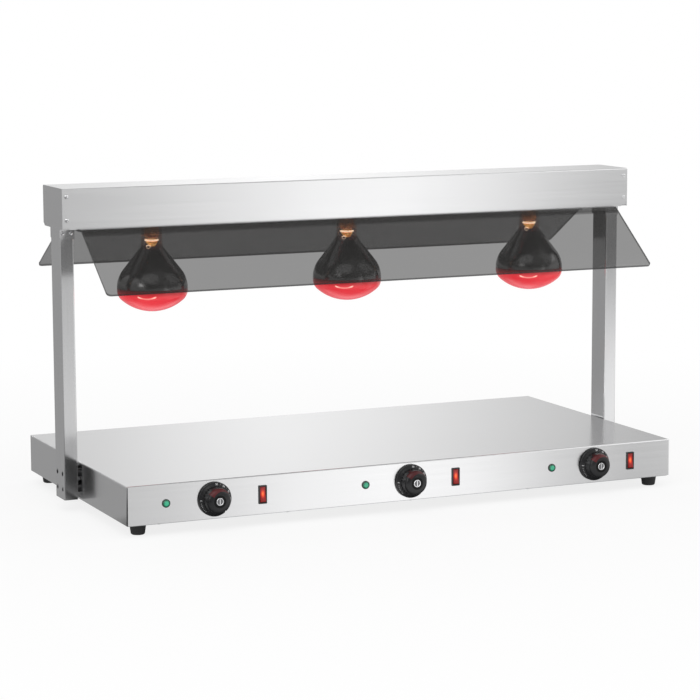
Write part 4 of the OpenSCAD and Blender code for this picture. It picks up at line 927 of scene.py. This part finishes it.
def pilot(zone):
    place = on_panel(middle("pilot_lens_" + zone).x)
    profile = [(0, -13.2), (4, -13.2), (4, 0.8), (LENS_R, 0.8), (LENS_R, 1.7)]
    dome_r = (LENS_R ** 2 + LENS_RISE ** 2) / (2 * LENS_RISE)
    for i in range(LENS_RIPPLES + 1):
        radius = LENS_R * (1 - i / LENS_RIPPLES)
        dome = LENS_FOOT + sqrt(dome_r ** 2 - radius ** 2) - (dome_r - LENS_RISE)
        profile.append((radius, dome - LENS_RIPPLE * (1 - cos(radius * 2 * pi / LENS_RIPPLE_PITCH)) / 2))
    mesh = bmesh.new()
    revolve(mesh, profile, steps=64, place=place, material=lambda a, b: int(max(a[0], b[0]) > LENS_RIM_R))
    name = "pilot_lens_" + zone
    piece(name + "_dome", mesh, [LENS, LENS_RIM], "gantry", [name], sharp=50)


# Rockers: paddles with rounded edges
ROCKER_TILT, ROCKER_SINK = 8, 2.5
PADDLE_R, PADDLE_BACK, PADDLE_HALF = 13.5, 4, 4.9
VALLEY, VALLEY_SLOPE = 3.6, 0.1405
PIN_R, PIN_HALF = 1.5, 6.3


def rocker(zone):
    place = on_panel(middle("switch_housing_" + zone).x, -ROCKER_SINK) @ turned(-ROCKER_TILT, "X")
    crest = VALLEY + PADDLE_R * sin(radians(ROCKER_TILT)) / cos(radians(ROCKER_TILT))
    half_face = sqrt(PADDLE_R ** 2 - crest ** 2)
    start, end = (degrees(asin(height / PADDLE_R)) for height in (-PADDLE_BACK, crest))
    side = arc(0, 0, PADDLE_R, start, end, 8)
    away = [half_face * share for share in (0.66, 0.33, -0.33, -0.66)]
    face = [(y, VALLEY + abs(y) * VALLEY_SLOPE) for y in away]
    face.insert(2, (0, VALLEY - 0.05))
    outline = side + face + [(-y, z) for y, z in reversed(side)]
    mesh = bmesh.new()
    prism(mesh, outline, 2 * PADDLE_HALF, place @ turned(90, "Y") @ turned(90, "Z") @ shifted(z=-PADDLE_HALF))
    bmesh.ops.recalc_face_normals(mesh, faces=mesh.faces)
    edges = [e for e in mesh.edges if e.calc_face_angle(0) > radians(40)]
    bmesh.ops.bevel(mesh, geom=edges, offset=0.35, segments=3, affect="EDGES", profile=0.5)
    pin = [(0, -PIN_HALF), (PIN_R, -PIN_HALF), (PIN_R, PIN_HALF), (0, PIN_HALF)]
    revolve(mesh, pin, 24, place @ turned(90, "Y"))
    glow = rocker_glow("lit_rocker_" + zone, place @ Vector((0, 0.8, VALLEY)))
    name = "switch_rocker_" + zone
    piece(name + "_paddle", mesh, [glow], zone + "_rocker", [name])


# Lamps: a dome, a rounded edge, a shoulder, a straight cone and a throat up to the neck
BULB_R = 62.5
EDGE_R, EDGE_RISE = 22, 37.5
SHOULDER_ARC_R, SHOULDER_RISE = 50, 5
CONE_ANGLE = 38
THROAT_R = 18
FILAMENT_R, FILAMENT_Z, COIL_R = 12, 404.5, 1.1
COIL_TURNS, COIL_STEPS = 60, 420


def lamp_outline():
    """Outside of the glass from its lowest point up to the cap."""
    edge_x, edge_z = BULB_R - EDGE_R, LAMP_BOTTOM + EDGE_RISE
    dome_r = (edge_x ** 2 + EDGE_RISE ** 2 - EDGE_R ** 2) / (2 * (EDGE_RISE - EDGE_R))
    dome_z = LAMP_BOTTOM + dome_r
    dome_edge = degrees(atan2(edge_z - dome_z, edge_x))
    shoulder_x, shoulder_z = BULB_R - SHOULDER_ARC_R, edge_z + SHOULDER_RISE
    throat_x = LAMP_NECK_R + THROAT_R
    drop = (shoulder_x - throat_x) * cos(radians(CONE_ANGLE))
    throat_z = shoulder_z + (SHOULDER_ARC_R + THROAT_R + drop) / sin(radians(CONE_ANGLE))
    points = arc(0, dome_z, dome_r, -90, dome_edge, 24)
    points += arc(edge_x, edge_z, EDGE_R, dome_edge, 0, 14)[1:]
    points += arc(shoulder_x, shoulder_z, SHOULDER_ARC_R, 0, CONE_ANGLE, 18)
    throat = arc(throat_x, throat_z, THROAT_R, 180 + CONE_ANGLE, 180, 14)
    (low_x, low_z), (high_x, high_z) = points[-1], throat[0]
    points += [(low_x + (high_x - low_x) * i / 6, low_z + (high_z - low_z) * i / 6) for i in range(1, 6)]
    points += throat + [(LAMP_NECK_R, 475), (LAMP_NECK_R, 488), (LAMP_NECK_R, CAP_Z - 7)]
    return points + [(18.1, CAP_Z - 5.2), (12.4, CAP_Z - 0.6), (12.2, CAP_Z)]


def lamp_part(lower, upper):
    """Index of a strip's material: ruby, mirror coat, its fade, or clear neck."""
    height = (lower[1] + upper[1]) / 2
    return sum(height >= level for level in (RUBY_TOP, COAT_TOP, FADE_TOP))


def lamp_mount(x, place):
    """Stem, shield, disc, collar, wires and coil inside the bulb. Materials: cup, stem glass, glint, cone."""
    mount = bmesh.new()
    flare = [(0, 0), (8, 0), (7.4, -2.5), (5.2, -7), (4.1, -12), (4, -31), (3.2, -34), (0, -34)]
    revolve(mount, [(r, CAP_Z + z) for r, z in flare], steps=48, place=place, material=1)
    shield = [
        (0, 494), (7, 493.8), (11.2, 492), (12.8, 488.6), (13.4, 480), (13, 474.8), (12.2, 474),
        (11.6, 475), (10.6, 477), (7.4, 477.6), (0, 477.6),
    ]
    revolve(mount, shield, steps=64, place=place)
    disc = [
        (0, 470.4), (10.4, 470.4), (12.1, 470), (12.6, 469.2), (12.6, 468.3), (12.1, 467.5), (10.4, 467),
        (0, 467),
    ]
    revolve(mount, disc, steps=64, place=place, material=lambda a, b: 2 if min(a[0], b[0]) > 9.5 else 3)
    collar = [(4.3, 467.2), (10.2, 466.6), (10.6, 464.6), (8.4, 462.6), (6.4, 458.6), (4.3, 457.8)]
    revolve(mount, collar, steps=48, place=place, material=3)
    turns = [2 * pi * i / 24 for i in range(24)]
    ring = [(x - 8.5 + 3.6 * cos(a), -6, 457.5 + 2.8 * sin(a)) for a in turns]
    tube(mount, ring, 0.8, steps=8, closed=True, material=2)
    tube(mount, [(x - 2, -4.4, 474), (x - 1.4, -4.6, 481), (x + 0.4, -4.4, 488)], 0.7, steps=8, material=2)
    lead = [(6.6, 482), (6.9, 470), (5.2, 458), (8.5, 434), (12, 405)]
    for side in (-1, 1):
        tube(mount, [(x + side * away, 0, z) for away, z in lead], 0.7)
    coil = []
    for i in range(COIL_STEPS):
        angle = 2 * pi * i / COIL_STEPS
        wave = 2 * pi * i * COIL_TURNS / COIL_STEPS
        radius = FILAMENT_R + COIL_R * cos(wave)
        coil.append((x + radius * cos(angle), radius * sin(angle), FILAMENT_Z + COIL_R * sin(wave)))
    tube(mount, coil, 0.25, steps=6, closed=True)
    return mount


def lamp(zone):
    x = middle("lamp_bulb_" + zone).x
    place = shifted(x)
    body = zone + "_lamp"
    bulb, filament = "lamp_bulb_" + zone, "lamp_filament_" + zone
    glass = bmesh.new()
    revolve(glass, lamp_outline(), steps=128, place=place, material=lamp_part)
    piece(bulb + "_glass", glass, [RUBY, MIRROR, NECK_FADE, NECK], body, [bulb], sharp=60)
    metals = [MOUNT_CUP, STEM_GLASS, GLINT, MOUNT_CONE]
    piece(filament + "_mount", lamp_mount(x, place), metals, body, [filament])


# Cable gland: hexagon with chamfers, ribbed dome nut, thread and lock nut
CABLE_R = 4.5
HEX_ACROSS = 22
THREAD_R, THREAD_ROOT_R = 9.8, 9.1
THREAD_TURNS, TURN_HEIGHT = 8, 1.5
RIB_COUNT, RIB_DEPTH, RIB_LEAST_R, RIB_FOOT, RIB_TOP = 16, 0.7, 8.6, 7.2, 24
LOCK_NUT_H, LOCK_NUT_BORE, LOCK_NUT_Z = 5, 9.9, -6.2


def gland():
    low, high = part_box("cable_gland")
    centre = (low + high) / 2 / MM
    place = shifted(centre.x, -PANEL_Y, centre.z) @ turned(-90, "X")
    mesh = bmesh.new()
    place_copies(mesh, hex_nut(6, HEX_ACROSS, CABLE_R), [place])
    place_copies(mesh, hex_nut(LOCK_NUT_H, HEX_ACROSS, LOCK_NUT_BORE), [place @ shifted(z=LOCK_NUT_Z)])

    def ribs(radius, height, angle):
        if radius < RIB_LEAST_R or not RIB_FOOT < height < RIB_TOP:
            return radius
        return radius - RIB_DEPTH * max(0, cos(angle * RIB_COUNT)) ** 4

    dome = [
        (CABLE_R, 6), (10, 6), (10, 7.3), (10, 7.5), (10, 12), (10, 17), (9.7, 19.5), (9.3, 22.5),
        (8.7, 24.5), (8.5, 27), (7.5, 28), (5.2, 28), (CABLE_R, 27.2), (CABLE_R, 6),
    ]
    revolve(mesh, dome, steps=192, place=place, reach=ribs)
    thread = [(CABLE_R, 0), (THREAD_R, 0)]
    for i in range(THREAD_TURNS):
        thread += [(THREAD_ROOT_R, -0.4 - TURN_HEIGHT * i), (THREAD_R, -1.1 - TURN_HEIGHT * i)]
    thread += [(9.2, -12), (CABLE_R, -12), (CABLE_R, 0)]
    revolve(mesh, thread, steps=64, place=place)
    piece("cable_gland_ribbed", mesh, [PLASTIC], "gantry", ["cable_gland"])


for build in (knob, pilot, rocker, lamp):
    for zone in ZONES:
        build(zone)
gland()


# Studio: white floor and backdrop, soft light, and soft grey fields for the steel to reflect
STEEL_GAIN = 1.8
NEAR_FIELD = [
    (0, 0.42), (0.25, 0.45), (0.3, 0.66), (0.322, 0.74), (0.345, 0.84), (0.4, 1.22), (0.445, 1.34),
    (0.485, 1.26), (0.53, 0.88), (0.565, 0.7), (0.587, 0.74), (0.615, 1.16), (1, 0.95),
]
FAR_FIELD = [
    (0, 0.42), (0.235, 0.45), (0.285, 0.46), (0.325, 0.56), (0.366, 0.75), (0.408, 1.15), (0.449, 1.52),
    (0.49, 1.62), (0.531, 1.26), (0.572, 0.68), (0.6, 0.36), (0.75, 0.5), (1, 0.8),
]
BACK_FLOOR = [
    (0, 0.38), (0.14, 0.37), (0.2, 0.35), (0.28, 0.8), (0.4, 0.92), (0.6, 0.8), (0.8, 0.6), (1, 0.7),
]
BACK_FIELD = [
    (0, 0.62), (0.25, 0.42), (0.42, 0.44), (0.52, 0.55), (0.6, 0.66), (0.655, 0.72), (0.675, 0.94),
    (0.692, 1.04), (0.712, 0.92), (0.74, 0.68), (0.77, 0.42), (0.83, 0.5), (1, 0.74),
]
SIDE_FIELD, OVERHEAD_FIELD = 0.8, 0.56
FLOOR_DARK, BACK_DARK, SECTOR_DARK, WINDOW_BRIGHT = 0.014, 0.21, 0.13, 2.4
# Where the patches rise and fall, on the floor in metres and on the world by direction
BESIDE_X, BESIDE_Y = ((-0.88, -0.8), (-0.58, -0.53)), ((-1.3, -0.9), (-0.17, -0.1))
# Under the base: a painted shadow on the floor that the steel sees.
UNDER_X, UNDER_Y = (0.5, 0.54), (0.29, 0.33)
SECTOR = (-0.9, -0.7), (-0.3, -0.12)
WINDOW_ACROSS, WINDOW_HEIGHT = ((-2.3, -2), (-1.05, -0.9)), ((0.17, 0.2), (0.33, 0.37))
FLOOR_HALF = 14


def field(factor, stops):
    return ramp(factor, [(place, (value / STEEL_GAIN,) * 3) for place, value in stops])


def either(share, first, second):
    """Mix of two shader nodes, by the second one's share."""
    return add(share.id_data, "MixShader", inputs={0: share, 1: first.outputs[0], 2: second.outputs[0]})


def fan(x, y):
    """Where a ray towards the front falls, from the left at 0 to the right at 1."""
    return math("DIVIDE", x, math("MAXIMUM", math("MULTIPLY", y, -1), 0.02))


def floor_fields(x, y):
    """What the steel sees of the floor: fields in front and behind, dark beside the base, and a painted
    shadow of the object under it.
    """
    across = fan(math("ADD", x, 1.85), math("SUBTRACT", y, 3.8))
    near = rise(y, -3.2, -1.2)
    front = mix(near, field(across, FAR_FIELD), field(across, NEAR_FIELD))
    back = field(rise(x, -0.9, 1.6), BACK_FLOOR)
    slant = math("SUBTRACT", math("ADD", x, math("MULTIPLY", y, 0.578)), 0.53)
    back = mix(fall(math("ABSOLUTE", slant), 0.48, 0.85), back, grey(BACK_DARK))
    mirrored = mix(rise(y, -0.36, -0.12), front, back)
    beside = product(between(x, *BESIDE_X), between(y, *BESIDE_Y))
    # Painted shadow: the floor under the base is dark for glossy rays.
    painted_shadow_under = product(fall(math("ABSOLUTE", x), *UNDER_X), fall(math("ABSOLUTE", y), *UNDER_Y))
    return mix(math("MAXIMUM", beside, painted_shadow_under), mirrored, grey(FLOOR_DARK))


def studio_floor():
    """White floor with the object's shadow near it, and the fields for glossy rays."""
    material, tree = new_tree("studio_floor")
    glossy_ray = add(tree, "LightPath").outputs["Is Glossy Ray"]
    position = add(tree, "NewGeometry").outputs["Position"]
    x, y, _ = split(position)
    seen = add(tree, "Emission", inputs={"Color": floor_fields(x, y), "Strength": STEEL_GAIN})
    matt = add(tree, "BsdfDiffuse", inputs={"Color": grey(1)})
    white = add(tree, "Emission", inputs={"Color": grey(1), "Strength": 1})
    share = spread(norm(position), 0.82, 1, 0.7, 1.8)
    close_tree(tree, either(glossy_ray, either(share, matt, white), seen).outputs[0])
    data = bpy.data.meshes.new("studio_floor")
    data.from_pydata([(x, y, 0) for x, y in rectangle(FLOOR_HALF, FLOOR_HALF)], [], [(0, 1, 2, 3)])
    data.materials.append(material)
    floor = new_object("studio_floor", data)
    floor.location.z = -0.0005


def world_fields(tree):
    """What the steel sees above the floor: front and back, a dark sector, a window and the top."""
    x, y, z = split(add(tree, "TexCoord").outputs["Generated"])
    flat = math("SQRT", math("ADD", product(x, x), product(y, y)))
    flat = math("MAXIMUM", flat, 0.001)
    across = fan(x, y)
    front = mix(between(across, *SECTOR), field(across, FAR_FIELD), grey(SECTOR_DARK))
    back = field(rise(math("DIVIDE", x, flat), -1, 1), BACK_FIELD)
    level = mix(rise(math("DIVIDE", y, flat), -0.25, 0.15), front, back)
    level = mix(rise(z, 0.2, 0.45), level, grey(SIDE_FIELD / STEEL_GAIN))
    level = mix(rise(z, 0.62, 0.86), level, grey(OVERHEAD_FIELD / STEEL_GAIN))
    window = product(between(across, *WINDOW_ACROSS), between(z, *WINDOW_HEIGHT))
    gain = spread(z, 1.3 * STEEL_GAIN, STEEL_GAIN, 0.07, 0.17)
    return mix(window, level, grey(WINDOW_BRIGHT)), gain


def studio_world():
    """White behind the object, even soft light, and the fields for glossy rays."""
    world = bpy.data.worlds.new("studio")
    bpy.context.scene.world = world
    world.use_nodes = True
    tree = world.node_tree
    tree.nodes.clear()
    rays = add(tree, "LightPath").outputs
    colour, gain = world_fields(tree)
    steel, soft, white = (
        add(tree, "Background", inputs={"Color": shown, "Strength": strength})
        for shown, strength in ((colour, gain), (grey(1), 0.6), (grey(1), 1))
    )
    straight = math("MAXIMUM", rays["Is Camera Ray"], rays["Is Transmission Ray"])
    lit = either(rays["Is Glossy Ray"], soft, steel)
    close_tree(tree, either(straight, lit, white).outputs[0], "OutputWorld")


def softbox(name, place, target, size, power):
    data = bpy.data.lights.new(name, "AREA")
    data.shape = "RECTANGLE"
    data.size, data.size_y = size
    data.energy = power
    light = new_object(name, data)
    light.location = place
    light.rotation_euler = (Vector(target) - Vector(place)).to_track_quat("-Z", "Y").to_euler()


studio_floor()
studio_world()
softbox("key_light", (-1.6, -2, 2.8), (0, 0, 0.2), (3.2, 2.6), 34)
softbox("fill_light", (2.4, -1.2, 2.2), (0, 0, 0.2), (2.8, 2.2), 14)
softbox("rim_light", (0.4, 2.6, 2.4), (0, 0, 0.3), (3.2, 2), 12)


# Camera at the photograph's place, with its sizes in millimetres and its focal length in pixels
VIEW_AZIMUTH, VIEW_ELEVATION, VIEW_ROLL = radians(-24.19), radians(8.23), radians(-0.206)
VIEW_TARGET, VIEW_DISTANCE = Vector((0, 0, 290)), 4554
VIEW_SHIFT_RIGHT, VIEW_SHIFT_UP = -5.3, 40.5
FOCAL_PIXELS, PHOTO_PIXELS, SENSOR_WIDTH = 2481.4, 700, 36


def camera():
    level_out = cos(VIEW_ELEVATION)
    back = Vector((sin(VIEW_AZIMUTH) * level_out, -cos(VIEW_AZIMUTH) * level_out, sin(VIEW_ELEVATION)))
    level = Vector((0, 0, 1)).cross(back).normalized()
    upright = back.cross(level)
    right = cos(VIEW_ROLL) * level + sin(VIEW_ROLL) * upright
    up = -sin(VIEW_ROLL) * level + cos(VIEW_ROLL) * upright
    place = VIEW_TARGET + back * VIEW_DISTANCE - right * VIEW_SHIFT_RIGHT - up * VIEW_SHIFT_UP
    data = bpy.data.cameras.new("photo_camera")
    data.sensor_width = SENSOR_WIDTH
    data.lens = FOCAL_PIXELS * SENSOR_WIDTH / PHOTO_PIXELS
    data.clip_start, data.clip_end = 0.05, 60
    made = new_object("photo_camera", data)
    made.matrix_world = Matrix.Translation(place * MM) @ Matrix((right, up, back)).transposed().to_4x4()
    bpy.context.scene.camera = made


camera()
bpy.context.scene.view_settings.view_transform = "Standard"
